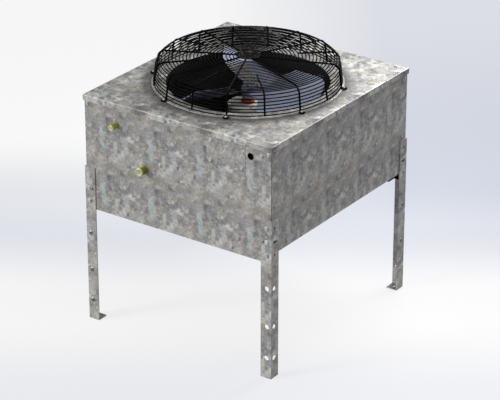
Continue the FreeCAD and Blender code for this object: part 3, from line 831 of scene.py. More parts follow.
class Workshop:
    """Turns surfaces into pieces, dresses them and reports each one."""

    def __init__(self) -> None:
        """Starts with an empty book of finishes."""
        self.book = FinishBook()

    def piece(self, name: str, surface: Surface, finish: Finish, slot: str = "galvanised_steel",
              replaces: Sequence[str] = (), body: Body = Body.HOUSING) -> None:
        """Makes a finished piece.

        Args:
            name: the piece's name.
            surface: its shape.
            finish: its finish.
            slot: the record's material slot; not used.
            replaces: CAD nodes that it stands for.
            body: the body that it rides on.
        """
        mesh = surface.mesh(name)
        mesh.shade_smooth()
        mesh.set_sharp_from_angle(angle=SMOOTH_ANGLE)
        made = bpy.data.objects.new(name, mesh)
        bpy.context.scene.collection.objects.link(made)
        made.data.materials.append(self.book[finish])
        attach(made, body.value)
        if replaces:
            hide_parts(*replaces)
        LOG.info("%s: %d faces", name, len(mesh.polygons))

    def lathe(self, name: str, profile: Sequence[tuple], segments: int, *labels: object,
              **turning: object) -> None:
        """Makes a piece from one turned profile.

        Args:
            name: the piece's name.
            profile: corners of the outline, (radius, height).
            segments: points round the axis.
            labels: finish, slot, replaces and body, as in piece.
            turning: loop, axis and at, as in Surface.turn.
        """
        surface = Surface()
        surface.turn(profile, segments, **turning)
        self.piece(name, surface, *labels)

    def dress(self, finish: Finish, *nodes: str) -> None:
        """Gives CAD nodes a finish.

        Args:
            finish: the finish.
            nodes: the nodes' names.
        """
        for name in nodes:
            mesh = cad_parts[name].data
            mesh.materials.clear()
            mesh.materials.append(self.book[finish])
            LOG.info("%s: dressed as %s", name, finish.name)


class Heads:
    """Shapes of screw and bolt heads, as grids with their seat at zero and Z outwards."""

    @staticmethod
    def hex_flange(flange: float, flats: float, height: float, segments: int = 36) -> np.ndarray:
        """Hexagon on a round flange, in millimetres.

        Round the head the hexagon's radius is (flats / 2) / cos(angle from the nearest flat); the
        flange's is constant, and the top is chamfered by cutting the hexagon to a circle.

        Args:
            flange: radius of the flange.
            flats: width over two flats.
            height: height of the head.
            segments: points round it.

        Returns:
            Grid of points from the seat to the top.
        """
        turn = np.linspace(0, 2 * np.pi, segments, endpoint=False)
        flat = (turn + np.pi / 6) % (np.pi / 3) - np.pi / 6
        hexagon = flats / 2 / np.cos(flat)
        rows = [(flange, 0.0), (flange, 0.16), (flange * 0.93, 0.26), (hexagon * 1.04, 0.34),
                (hexagon, 0.42), (hexagon, 0.80), (np.minimum(hexagon, flats * 0.54), 0.90),
                (flats * 0.44, 1.0), (flats * 0.20, 0.97), (0.0, 0.95)]
        return np.stack([np.stack([r * np.cos(turn), r * np.sin(turn), 0 * turn + share * height], -1)
                         for r, share in rows])

    @staticmethod
    def dome(radius: float, height: float, segments: int = 24) -> np.ndarray:
        """Pan head: height times sqrt(1 - (r / radius) squared), with a shallow round socket in its top.

        Args:
            radius: radius of the head.
            height: height of the head.
            segments: points round it.

        Returns:
            Grid of points from the seat to the socket.
        """
        share = np.array([1.0, 1.0, 0.96, 0.86, 0.70, 0.50, 0.34, 0.28, 0.26, 0.0])
        rise = np.sqrt(np.clip(1 - share ** 2, 0, 1)) * 0.72 + 0.28
        rise[0] = 0.0
        rise[-2:] -= 0.34
        return turned(np.stack([share * radius, rise * height], 1), segments)

    @staticmethod
    def set_on(surface: Surface, head: np.ndarray, at: Sequence[float], axis: Axis,
               turn: float = 0.0) -> None:
        """Puts a head on a surface at a point, looking along an axis.

        Args:
            surface: what the head joins.
            head: its grid.
            at: place of its seat.
            axis: the way it looks.
            turn: degrees round its own axis.
        """
        surface.grid(around(head, turn) @ axis.frame() + np.array(at, float))


@dataclass
class Cabinet:
    """Cover, collar, panels, junction cover, bracket and their screws."""

    shop: Workshop
    top: float = COVER_TOP
    gauge: float = 1.5
    lip: float = 18.0
    seat_rise: float = 1.4
    fold: float = 2.6
    corner: float = 3.5
    collar_depth: float = 50.0
    junction_front: float = 374.0
    screw: tuple = (7.0, 9.0, 5.0)
    small_screw: tuple = (4.6, 5.6, 2.4)
    cover_screws: tuple = ((311.0, 358.0), (-311.0, 358.0), (311.0, -358.0), (-311.0, -358.0))
    front_screws: tuple = ((-333, 738), (337, 737), (312, 726), (-59.5, 602), (3, 611), (64, 601),
                           (-218.6, 439), (-192, 404), (227, 440), (203, 405))
    junction_screws: tuple = ((129, 671), (242, 671.6), (129, 734))
    coupling_screws: tuple = ((-232, 706), (-214, 679), (-130, 590), (-108, 560))
    back_screws: tuple = ((-333, 738), (333, 738), (-62, 602), (0, 611), (62, 602),
                          (-218, 439), (-192, 404), (218, 440), (192, 405))
    side_screws: tuple = ((-352, 738), (352, 738))

    def build(self) -> None:
        """Makes every piece of the cabinet."""
        self.make_cover()
        self.make_seat()
        self.make_collar()
        self.make_screws()
        self.shop.dress(Finish.PANEL, "front_panel", "back_panel", "left_panel", "right_panel")
        self.shop.dress(Finish.FINE, "junction_cover")
        self.shop.dress(Finish.SHADED, "motor_bracket")

    def outline(self, inset: float, height: float, steps: int = 5, along: int = 28) -> np.ndarray:
        """Rounded rectangle at a height, drawn in from the cover's edge.

        Four quarter circles of the corner radius joined by straight runs, with the same number of
        points whatever the inset.

        Args:
            inset: distance in from the edge.
            height: height above the floor.
            steps: points of each quarter circle.
            along: points of each straight run.

        Returns:
            Points of the outline.
        """
        radius = max(self.corner - inset, 0.05)
        wide, deep = HALF_WIDTH - inset - radius, HALF_DEPTH - inset - radius
        parts = []
        for quarter, (sx, sy) in enumerate(((1, 1), (-1, 1), (-1, -1), (1, -1))):
            turn = np.radians(np.linspace(0, 90, steps) + 90 * quarter)
            arc = np.stack([sx * wide + radius * np.cos(turn), sy * deep + radius * np.sin(turn)], 1)
            ahead = (-sx * wide, sy * deep) if quarter % 2 == 0 else (sx * wide, -sy * deep)
            after = math.radians(90 * quarter + 90)
            start = arc[-1]
            end = np.array(ahead) + radius * np.array([math.cos(after), math.sin(after)])
            share = np.linspace(0, 1, along + 2)[1:-1, None]
            parts.extend([arc, start + (end - start) * share])
        plan = np.concatenate(parts)
        return np.column_stack([plan, np.full(len(plan), height)])

    def bend(self, inset: float, radius: float, degrees: Sequence[float]) -> list:
        """Outlines round a fold of that radius, drawn in and down by the inset.

        Args:
            inset: distance in of the skin.
            radius: radius of the fold.
            degrees: where on the fold, from 0 on the flat to 90 on the lip.

        Returns:
            One outline for each.
        """
        return [self.outline(inset + radius * (1 - math.sin(a)),
                             self.top - inset - radius * (1 - math.cos(a)))
                for a in np.radians(degrees)]

    def make_cover(self) -> None:
        """Pan with a round opening: its edge, the flat top, a rolled fold, the lip and the same inside."""
        rim = self.outline(0.0, self.top)
        turn = np.arctan2(rim[:, 1], rim[:, 0])
        hole = np.stack([OPENING * np.cos(turn), OPENING * np.sin(turn), rim[:, 2]], 1)
        edge = self.outline(self.fold, self.top)
        rows = [hole + (edge - hole) * share ** 1.4 for share in np.linspace(0, 1, 9)]
        rows += self.bend(0.0, self.fold, (18, 36, 54, 72, 90))
        rows += [self.outline(inset, self.top - self.lip) for inset in (0.0, self.gauge)]
        rows += self.bend(self.gauge, self.fold - self.gauge, (90, 45, 0))
        rows.append(hole - (0, 0, self.gauge))
        surface = Surface()
        surface.grid(np.stack(rows), close_rows=True, close_columns=True)
        self.shop.piece("cover_pan", surface, Finish.COVER, "galvanised_steel", ["top_cover"])

    def make_seat(self) -> None:
        """Flat ring pressed up round the opening, on which the guard stands, with a rounded outer edge."""
        inner, outer, low, high = OPENING + 0.2, SEAT_RADIUS, self.top - 0.3, self.top + self.seat_rise
        self.shop.lathe("guard_seat_ring", [
            (inner, low), (outer, low), (outer, high - 0.5), (outer - 0.2, high - 0.15), (outer - 0.7, high),
            (inner + 0.5, high), (inner, high - 0.5)], 144, Finish.COVER)

    def make_collar(self) -> None:
        """Rolled ring under the opening: flange, throat and a small bead at its lower edge."""
        inner, outer, flange = OPENING, OPENING + 1.2, OPENING + 19.2
        high, low = self.top - self.gauge, self.top - self.gauge - self.collar_depth
        bead = [(outer + 1.5 + 1.5 * math.cos(a), low + 1.6 + 1.5 * math.sin(a))
                for a in np.radians(np.linspace(180, -120, 9))]
        self.shop.lathe("collar_ring", [
            (flange, high), (inner + 1.4, high), (inner + 0.4, high - 0.5), (inner, high - 1.6),
            (inner, low + 2.2), (inner + 0.3, low + 0.3), (outer, low), *bead[3:], (outer + 0.2, low + 3.6),
            (outer, low + 5), (outer, high - 2.4), (outer + 1.2, high - 1.2), (flange, high - 1.2)],
            144, Finish.COLLAR, "black_paint", ["fan_collar"])

    def make_screws(self) -> None:
        """Hexagon washer screws of the cover, panels and fittings, each turned by its own place."""
        surface = Surface()
        head, small = Heads.hex_flange(*self.screw), Heads.hex_flange(*self.small_screw)
        for x, y in self.cover_screws:
            Heads.set_on(surface, head, (x, y, self.top), Axis.UP, 11 * x)
        for places, face, size, axis, turn in (
                (self.front_screws, -PANEL_FRONT, head, Axis.FRONT, 7),
                (self.coupling_screws, -PANEL_FRONT, small, Axis.FRONT, 7),
                (self.junction_screws, -self.junction_front, head, Axis.FRONT, 5),
                (self.back_screws, PANEL_FRONT, head, Axis.BACK, 3)):
            for x, z in places:
                Heads.set_on(surface, size, (x, face, z), axis, turn * x)
        for y, z in self.side_screws:
            Heads.set_on(surface, head, (PANEL_SIDE, y, z), Axis.RIGHT, y)
            Heads.set_on(surface, head, (-PANEL_SIDE, y, z), Axis.LEFT, y)
        self.shop.piece("cabinet_screws", surface, Finish.ZINC)


@dataclass
class Legs:
    """Four angle legs and the bolts that hold them to the panels."""

    shop: Workshop
    face_x: float = 349.0
    face_y: float = 376.0
    line: float = 16.5
    bolt_heights: tuple = (413.5, 455.0, 500.0)
    bolt: tuple = (8.4, 11.0, 4.6)

    def build(self) -> None:
        """Dresses the legs and adds the bolts of their front and back flanges."""
        self.shop.dress(Finish.LEG, *[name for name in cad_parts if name.startswith("leg_")])
        surface = Surface()
        head = Heads.hex_flange(*self.bolt)
        for height in self.bolt_heights:
            for sx in (1, -1):
                for sy in (1, -1):
                    Heads.set_on(surface, head, (sx * (self.face_x - self.line), sy * self.face_y, height),
                                 Axis.BACK if sy > 0 else Axis.FRONT, height + 40 * sx)
        self.shop.piece("leg_bolts", surface, Finish.ZINC)


@dataclass
class Guard:
    """Welded basket of round wire over the fan."""

    shop: Workshop
    base: float = COVER_TOP
    rods: int = 16
    rod_radius: float = 2.9
    ring_radius: float = 1.8
    ring_inset: float = 0.9
    shoulder: tuple = (282.7, 0.0, 77.4)
    shoulder_bend: float = 25.0
    top_middle: tuple = (20.0, 0.0, 83.5)
    wall_heights: tuple = (6.0, 16.2, 26.4, 36.6, 46.8, 57.0, 67.2)
    shoulder_rings: tuple = ((273.0, 74.5), (266.5, 76.9))
    top_first: float = 254.5
    top_pitch: float = 11.0
    top_rings: int = 20
    short_end: float = 156.0
    plate_radius: float = 40.0
    foot_radius: float = 300.0
    loop_radius: float = 6.8

    def build(self) -> None:
        """Makes wires, centre plate, foot loops and their screws."""
        self.make_wires()
        self.make_plate()
        self.make_feet()

    def profile(self, footed: bool) -> np.ndarray:
        """Centre line of a rod as (radius, 0, height): foot, leaning wall, shoulder arc and rising top.

        Args:
            footed: the rod has a foot; the others end at the wall's lowest ring.

        Returns:
            Points of the line.
        """
        if footed:
            corners = [(self.foot_radius - self.loop_radius, 0, 2.2), (291.9, 0, 2.2), self.shoulder,
                       self.top_middle]
            line = rounded_line(np.array(corners, float), (3.0, self.shoulder_bend), 8)
        else:
            corners = [(292.0, 0, 5.0), self.shoulder, self.top_middle]
            line = rounded_line(np.array(corners, float), (self.shoulder_bend,), 8)
            share = (line[-2, 0] - self.short_end) / (line[-2, 0] - line[-1, 0])
            line[-1] = line[-2] + share * (line[-1] - line[-2])
        return line + np.array((0.0, 0.0, self.base))

    def radius_at(self, height: float) -> float:
        """Radius of the wall line at a height over the cover.

        Args:
            height: height over the cover.

        Returns:
            The radius.
        """
        wall = self.profile(True)[1:-1]
        order = np.argsort(wall[:, 2])
        return float(np.interp(self.base + height, wall[order, 2], wall[order, 0]))

    def height_at(self, radius: float) -> float:
        """Height of the top line at a radius.

        Args:
            radius: radius.

        Returns:
            The height above the floor.
        """
        top = self.profile(True)[6:][::-1]
        return float(np.interp(radius, top[:, 0], top[:, 2]))

    def make_wires(self) -> None:
        """Rods and rings: tubes round circles, and tubes along the profile turned to their places."""
        surface = Surface()
        rings = [(self.radius_at(h) - self.ring_inset, self.base + h) for h in self.wall_heights]
        rings += [(r - self.ring_inset, self.base + h) for r, h in self.shoulder_rings]
        rings += [(r, self.height_at(r) - self.ring_inset) for r in
                  self.top_first - self.top_pitch * np.arange(self.top_rings)]
        for ring in rings:
            wire = tube(turned(np.array([ring]), 128)[0], self.ring_radius, 6, (0, 0, 1), closed=True)
            surface.grid(wire, close_rows=True, close_columns=True)
        for number in range(self.rods):
            line = self.profile(number % 2 == 1)
            wire = capped(tube(line, self.rod_radius, 8, (0, 1, 0)))
            surface.grid(around(wire, 360 / self.rods * number), close_columns=True)
        self.shop.piece("guard_wires", surface, Finish.WIRE, "black_wire", ["guard_wall", "guard_top"])

    def make_plate(self) -> None:
        """Pressed plate over the middle: a dished disc with a rolled rim."""
        r, z = self.plate_radius, self.base + 86
        self.shop.lathe("guard_plate", [
            (0, z + 0.9), (r * 0.45, z + 0.9), (r * 0.60, z + 1.5), (r * 0.84, z + 1.9), (r - 1.2, z + 2.0),
            (r - 0.3, z + 1.6), (r, z + 0.9), (r - 0.4, z + 0.2), (r - 1.4, z), (r * 0.5, z), (0, z)],
            64, Finish.BADGE, "black_wire", ["guard_centre_plate"], loop=False)

    def make_feet(self) -> None:
        """Wire eyes at the ends of the footed rods, each on a black washer and under a domed screw."""
        loops, screws = Surface(), Surface()
        out = np.array((self.foot_radius, 0.0, self.base))
        ring = turned(np.array([(self.loop_radius, 2.0)]), 28)[0] + out
        eye = tube(ring, 2.0, 8, (0, 0, 1), closed=True)
        head = Heads.dome(4.2, 3.2) + out + (0, 0, 4.6)
        rim = np.array([(9.6, 0.8), (9.9, 1.6), (9.7, 3.6), (8.6, 4.6), (4.0, 4.7), (4.0, 0.8)])
        washer = turned(rim, 28) + out
        stem = turned(np.array([(0, 0.6), (3.2, 0.6), (3.2, 4.2), (0, 4.2)]), 16) + out
        for number in range(1, self.rods, 2):
            place = 360 / self.rods * number
            loops.grid(around(eye, place), close_rows=True, close_columns=True)
            screws.grid(around(head, place), close_columns=True)
            loops.grid(around(washer, place), close_rows=True, close_columns=True)
            screws.grid(around(stem, place), close_columns=True)
        self.shop.piece("guard_foot_eyes", loops, Finish.GASKET, "black_rubber", ["guard_feet"])
        self.shop.piece("guard_screws", screws, Finish.ZINC)


@dataclass
class Fan:
    """Three wide cambered blades under the arms of a pressed spider, on a turned hub."""

    shop: Workshop
    tip: float = 243.0
    root: float = 50.0
    camber: float = 400.0
    gauge: float = 1.6
    arm_gauge: float = 3.0
    pitch: float = 25.0
    droop: float = 3.43
    droop_reach: float = 200.0
    seat: float = 723.0
    centreline: float = -5.0
    corner: float = 30.0
    trailing: tuple = ((20.0, -7.7), (81.0, 83.0), (102.0, 100.0), (263.0, 118.0))
    leading: tuple = ((20.0, -12.0), (50.0, -12.0), (86.5, -63.5), (121.5, -129.0), (263.0, -58.0))
    hub_radius: float = 20.0
    hub_low: float = 713.0
    hub_high: float = 747.0
    shaft_radius: float = 6.35
    arm_angle: float = 3.0
    arm_half: float = 18.0
    arm_reach: float = 150.0
    rivets: tuple = ((92.0, -0.5), (92.0, 0.5), (114.0, 0.0), (134.0, -0.45), (134.0, 0.45))
    patch: tuple = ((52.0, -6.0), (74.0, -31.0), (191.0, 39.0), (87.0, 80.0))
    ridge_columns: tuple = (1, 4)
    ridge_radius: float = 0.8

    def build(self) -> None:
        """Makes blades, spider, hub and shaft."""
        for number in range(3):
            self.make_blade(number)
        self.make_spider()
        self.make_patch()
        self.make_hub()
        self.make_shaft()

    def height(self, along: np.ndarray, across: np.ndarray, radius: float) -> np.ndarray:
        """Height of the camber at a place along and across a blade.

        It is the low wall of a tube whose axis droops towards the tip:
        axis height - along x tan(droop) - sqrt(radius squared - offset from the axis squared) / cos(droop).

        Args:
            along: places along the blade.
            across: places across it.
            radius: radius of the tube.

        Returns:
            Heights above the floor.
        """
        tilt, droop = math.radians(self.pitch), math.radians(self.droop)
        axis = self.seat + self.camber * math.cos(tilt) + (self.droop_reach - along) * math.tan(droop)
        return axis - np.sqrt(radius ** 2 - (across + self.camber * math.sin(tilt)) ** 2) / math.cos(droop)

    def edges(self) -> tuple:
        """Both long edges of a blade in plan, from root to tip, as radius and angle.

        Each is a chain of straight runs ending in a circle of the corner radius that touches the run
        and the tip circle from inside.

        Returns:
            Trailing and leading edge, each as radii and angles.
        """
        made = []
        for chain, side in ((np.array(self.trailing), -1.0), (np.array(self.leading), 1.0)):
            start, end = chain[-2], chain[-1]
            along = (end - start) / np.linalg.norm(end - start)
            inward = side * np.array([-along[1], along[0]])
            base = start + inward * self.corner
            inside = (base @ along) ** 2 - base @ base + (self.tip - self.corner) ** 2
            reach = -(base @ along) + math.sqrt(inside)
            centre = base + along * reach
            first = math.atan2(*(-inward)[::-1])
            last = math.atan2(centre[1], centre[0])
            turn = np.linspace(first, last, 14)
            arc = centre + self.corner * np.stack([np.cos(turn), np.sin(turn)], 1)
            runs = [np.linspace(a, b, 24, endpoint=False) for a, b in zip(chain[:-2], chain[1:-1])]
            runs.append(np.linspace(start, arc[0], 24, endpoint=False))
            line = np.concatenate(runs + [arc])
            made.append((np.hypot(line[:, 0], line[:, 1]), np.arctan2(line[:, 1], line[:, 0])))
        return tuple(made)

    def make_blade(self, number: int) -> None:
        """One blade: rows at radii from root to tip, columns from leading to trailing edge, on the camber.

        Args:
            number: 0, 1 or 2.
        """
        (trail_r, trail_a), (lead_r, lead_a) = self.edges()
        share = np.sin(np.linspace(0, np.pi / 2, 60))
        radius = self.root + (self.tip - self.root) * share
        across = np.linspace(0, 1, 40)
        low = np.interp(radius, lead_r, lead_a)[:, None]
        high = np.interp(radius, trail_r, trail_a)[:, None]
        angle = low + (high - low) * across
        x, y = radius[:, None] * np.cos(angle), radius[:, None] * np.sin(angle)
        under, over = self.sheet(x, y, 0.0, self.gauge)
        place = self.centreline + 120 * number
        surface = Surface()
        surface.plate(around(under, place), around(over, place))
        self.shop.piece("blade_%d" % (number + 1), surface, Finish.BLADE, "aluminium_blade",
                        ["fan_blade_%d" % (number + 1)], Body.ROTOR)

    def sheet(self, x: np.ndarray, y: np.ndarray, low: float, high: float) -> list:
        """Lower and upper side of a sheet over places in plan, that far above the underside of the blades.

        Args:
            x: places along the blade.
            y: places across it.
            low: rise of the lower side.
            high: rise of the upper side.

        Returns:
            The two grids.
        """
        return [np.stack([x, y, self.height(x, y, self.camber - rise)], -1) for rise in (low, high)]

    def make_spider(self) -> None:
        """Three pressed arms under the blades that follow their camber, and the blades' rivets."""
        surface, rivets = Surface(), Surface()
        along = np.linspace(self.hub_radius - 4, self.arm_reach, 26)[:, None]
        wide = np.sin(np.linspace(-np.pi / 2, np.pi / 2, 15))[None]
        taper = self.arm_half * (1 - 0.12 * ((along - self.hub_radius) / self.arm_reach))
        tip_round = np.sqrt(np.clip(1 - np.clip((along - self.arm_reach + 14) / 14.5, 0, 1) ** 2, 0, 1))
        local = np.stack(np.broadcast_arrays(along, taper * tip_round * wide, 0 * along), -1)
        local = around(local, self.arm_angle)
        under, over = self.sheet(local[..., 0], local[..., 1], -self.arm_gauge, 0.0)
        head = Heads.dome(3.6, 1.6, 16)
        for number in range(3):
            place = self.centreline + 120 * number
            surface.plate(around(under, place), around(over, place))
            for reach, side in self.rivets:
                at = around(np.array([[reach, side * self.arm_half, 0.0]], float), self.arm_angle)[0]
                at[2] = self.height(at[0], at[1], self.camber - self.gauge)
                rivets.grid(around(head + at, place), close_columns=True)
        self.shop.piece("spider_arms", surface, Finish.BLADE, "galvanised_steel", ["fan_hub"], Body.ROTOR)
        self.shop.piece("spider_rivets", rivets, Finish.BLADE, body=Body.ROTOR)

    def make_patch(self) -> None:
        """Stiffening plate across the second blade, with two thin ridges along it.

        In plan a point of it is (1-u)(1-v) inner + u(1-v) lower + uv outer + (1-u)v upper, and it lies
        on the blade's upper side.
        """
        inner, lower, outer, upper = (np.array(corner, float) for corner in self.patch)
        u = np.linspace(0, 1, 14)[None, :, None]
        v = np.linspace(0, 1, 30)[:, None, None]
        plan = (1 - u) * (1 - v) * inner + u * (1 - v) * lower + u * v * outer + (1 - u) * v * upper
        under, over = self.sheet(plan[..., 0], plan[..., 1], self.gauge, 2 * self.gauge)
        surface = Surface()
        place = self.centreline + 120
        surface.plate(around(under, place), around(over, place))
        self.shop.piece("blade_patch", surface, Finish.PATCH, "galvanised_steel", ["blade_plate"], Body.ROTOR)
        ridges = Surface()
        for column in self.ridge_columns:
            line = over[1:-1, column] + np.array((0.0, 0.0, 0.2))
            wire = capped(tube(line, self.ridge_radius, 6, (0, 0, 1)))
            ridges.grid(around(wire, place), close_columns=True)
        self.shop.piece("patch_ridges", ridges, Finish.ZINC, body=Body.ROTOR)

    def make_hub(self) -> None:
        """Turned hub with chamfered ends, a waist groove and two set screws."""
        r, low, high, bore = self.hub_radius, self.hub_low, self.hub_high, self.shaft_radius + 0.1
        surface = Surface()
        surface.turn([
            (bore, low), (r - 1.2, low), (r, low + 1.2), (r, low + 9), (r - 1.4, low + 10.4),
            (r - 1.4, high - 9.4), (r, high - 8), (r, high - 1.4), (r - 1.4, high), (bore + 1, high),
            (bore, high - 1)], 48)
        screw = Heads.dome(3.6, 1.8, 16)
        for axis, at in ((Axis.RIGHT, (r - 1.8, 0, high - 17)), (Axis.BACK, (0, r - 1.8, high - 17))):
            Heads.set_on(surface, screw, at, axis)
        self.shop.piece("hub_barrel", surface, Finish.BLADE, body=Body.ROTOR)

    def make_shaft(self) -> None:
        """Ground shaft end with a chamfer and a centre drill mark."""
        r = self.shaft_radius
        low, high = (corner.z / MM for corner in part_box("motor_shaft"))
        self.shop.lathe("shaft", [
            (0, low), (r, low), (r, high - 1), (r - 0.95, high), (1.8, high), (0, high - 2)],
            32, Finish.STEEL, "bright_steel", ["motor_shaft"], Body.ROTOR, loop=False)


@dataclass
class Motor:
    """Cream fan motor with a ribbed can, through bolts and an orange cap."""

    shop: Workshop
    radius: float = 65.0
    low: float = 612.0
    high: float = 695.0
    cap_radius: float = 21.0
    bore: float = 6.8
    ribs: int = 12
    bolt_circle: float = 50.0
    bolt_places: tuple = (45, 135, 225, 315)

    def build(self) -> None:
        """Makes the can, its bolts and the cap."""
        r, low, high, c, bore = self.radius, self.low, self.high, self.cap_radius, self.bore
        surface = Surface()
        surface.turn([
            (0, low), (r - 6, low), (r - 2, low + 1.6), (r, low + 5), (r, low + 18), (r - 1.6, low + 19.2),
            (r - 1.6, low + 20.4), (r - 0.6, low + 21.6), (r - 0.6, high - 22), (r - 1.6, high - 21),
            (r - 1.6, high - 19.6), (r, high - 18.4), (r, high - 8), (r - 2.4, high - 3.4),
            (r - 8, high - 0.8), (r - 14, high), (r - 20, high), (r - 22, high - 1.4), (r - 34, high - 1.4),
            (r - 36, high), (bore, high), (bore, high - 30), (0, high - 30)], 72, loop=False)
        reach = (r - 0.8) * 0.987
        for a in np.radians(360 / self.ribs * np.arange(self.ribs)):
            surface.turn([(0, 0), (1.0, 0), (1.4, 1.0), (1.4, 34), (1.0, 35), (0, 35)], 8, loop=False,
                         at=(reach * math.cos(a), reach * math.sin(a), low + 24))
        self.shop.piece("motor_can", surface, Finish.CREAM, "cream_paint", ["fan_motor"])
        bolts = Surface()
        head = Heads.hex_flange(4.6, 6.0, 3.0, 24)
        for degrees in self.bolt_places:
            a = math.radians(degrees)
            at = (self.bolt_circle * math.cos(a), self.bolt_circle * math.sin(a), high - 0.4)
            Heads.set_on(bolts, head, at, Axis.UP, degrees)
        self.shop.piece("motor_bolts", bolts, Finish.ZINC, "cream_paint")
        self.shop.lathe("cap_dome", [
            (bore, high), (c - 0.6, high), (c, high + 0.8), (c, high + 7), (c - 1.2, high + 10.2),
            (c - 4, high + 12.2), (c - 8, high + 13), (bore + 1.4, high + 13), (bore, high + 12)],
            48, Finish.ORANGE, "orange_plastic", ["motor_cap"])


@dataclass
class Coil:
    """Finned coil across the bottom of the cabinet, with return bends at its left and right."""

    shop: Workshop
    half_x: float = 320.0
    half_y: float = 317.3
    low: float = 394.2
    high: float = 454.2
    bend_start: float = 325.0
    fin_pitch: float = 3.2
    fin_gauge: float = 0.5
    tube_radius: float = 4.8
    tube_pitch: float = 25.4
    rows: tuple = (421.0, 443.0)
    tubes: int = 24

    def build(self) -> None:
        """Makes fins and tube bends, and dresses the end plates."""
        count = int(2 * self.half_x / self.fin_pitch)
        x = (np.arange(count) - (count - 1) / 2) * self.fin_pitch
        low, high = (np.stack(np.broadcast_arrays(x + way * self.fin_gauge / 2, way * self.half_y, level), 1)
                     for way, level in ((-1, self.low), (1, self.high)))
        fins = Surface()
        fins.boxes(low, high)
        core_low = np.array([[-self.half_x + 0.2, -self.half_y + 0.8, self.low + 9]])
        fins.boxes(core_low, np.array([[self.half_x - 0.2, self.half_y - 0.8, self.high - 9]]))
        self.shop.piece("coil_fins", fins, Finish.FINS, "aluminium_fin", ["coil_fin_block"])
        bends = Surface()
        places = (np.arange(self.tubes) - (self.tubes - 1) / 2) * self.tube_pitch
        turn = np.linspace(-np.pi / 2, np.pi / 2, 11)
        for height in self.rows:
            for side in (1, -1):
                starts = places[:-1:2] if (side > 0) == (height == self.rows[0]) else places[1:-1:2]
                for y in starts:
                    arc = np.stack([side * (self.bend_start + self.tube_pitch / 2 * np.cos(turn)),
                                    y + self.tube_pitch / 2 + self.tube_pitch / 2 * np.sin(turn),
                                    np.full(len(turn), height)], 1)
                    ends = [arc[:1] - (side * 5, 0, 0), arc, arc[-1:] - (side * 5, 0, 0)]
                    bend = tube(np.concatenate(ends), self.tube_radius, 8, (0, 0, 1))
                    bends.grid(capped(bend), close_columns=True)
        self.shop.piece("coil_bends", bends, Finish.COPPER, "copper")
        self.shop.dress(Finish.SHADED, "coil_front_plate", "coil_back_plate")


@dataclass
class Couplings:
    """Brass line couplings on the front panel, and the copper lines behind them."""

    shop: Workshop
    ports: tuple = (("large", -119.0, 573.5, 13.5, 9.5, 11.0), ("small", -223.0, 693.0, 9.0, 5.0, 7.5))
    length: float = 30.0
    bore_depth: float = 14.0
    shank_length: float = 11.0
    mouth_length: float = 7.0

    def build(self) -> None:
        """Makes both couplings and dresses the lines."""
        for sizes in self.ports:
            self.make_port(*sizes)
        self.shop.dress(Finish.COPPER, "gas_line", "liquid_line")

    def make_port(self, name: str, x: float, z: float, nose: float, bore: float, shank: float) -> None:
        """One coupling: shank, round body with turned grooves, rounded mouth, and its bore's lining.

        Args:
            name: large or small.
            x: place across the panel.
            z: place up it.
            nose: radius of the mouth.
            bore: radius of the bore.
            shank: radius of the shank.
        """
        total, floor = self.length, self.length - self.bore_depth
        rear, slim, full = total - self.mouth_length, nose * 0.88, nose * 0.97
        place = {"axis": Axis.FRONT, "at": (x, -PANEL_FRONT, z)}
        # The body takes the darker brass: painted shade behind the brighter mouth.
        self.shop.lathe(name + "_coupling_body", [
            (0, -self.shank_length), (shank, -self.shank_length), (shank, 0), (nose * 0.93, 0),
            (full, 0.6), (full, total * 0.30), (slim, total * 0.33), (slim, total * 0.42),
            (full, total * 0.45), (full, total * 0.62), (slim, total * 0.65), (slim, rear), (bore, rear),
            (bore, floor), (0, floor)],
            48, Finish.BRASS_SHADE, "brass", [name + "_coupling"], loop=False, **place)
        self.shop.lathe(name + "_coupling_mouth", [
            (bore, rear + 0.02), (nose - 0.8, rear + 0.02), (nose, rear + 1.0), (nose, total - 1.6),
            (nose - 0.5, total - 0.5), (nose - 1.4, total), (bore + 0.8, total), (bore, total - 0.8)],
            48, Finish.BRASS, "brass", **place)
        self.shop.lathe(name + "_coupling_bore", [
            (bore - 0.1, total - 1.6), (bore - 1.0, total - 1.6), (bore - 1.0, floor + 0.6), (0, floor + 0.6),
            (0, floor + 0.1), (bore - 0.1, floor + 0.1)], 40, Finish.BORE_GREY, "brass", **place)


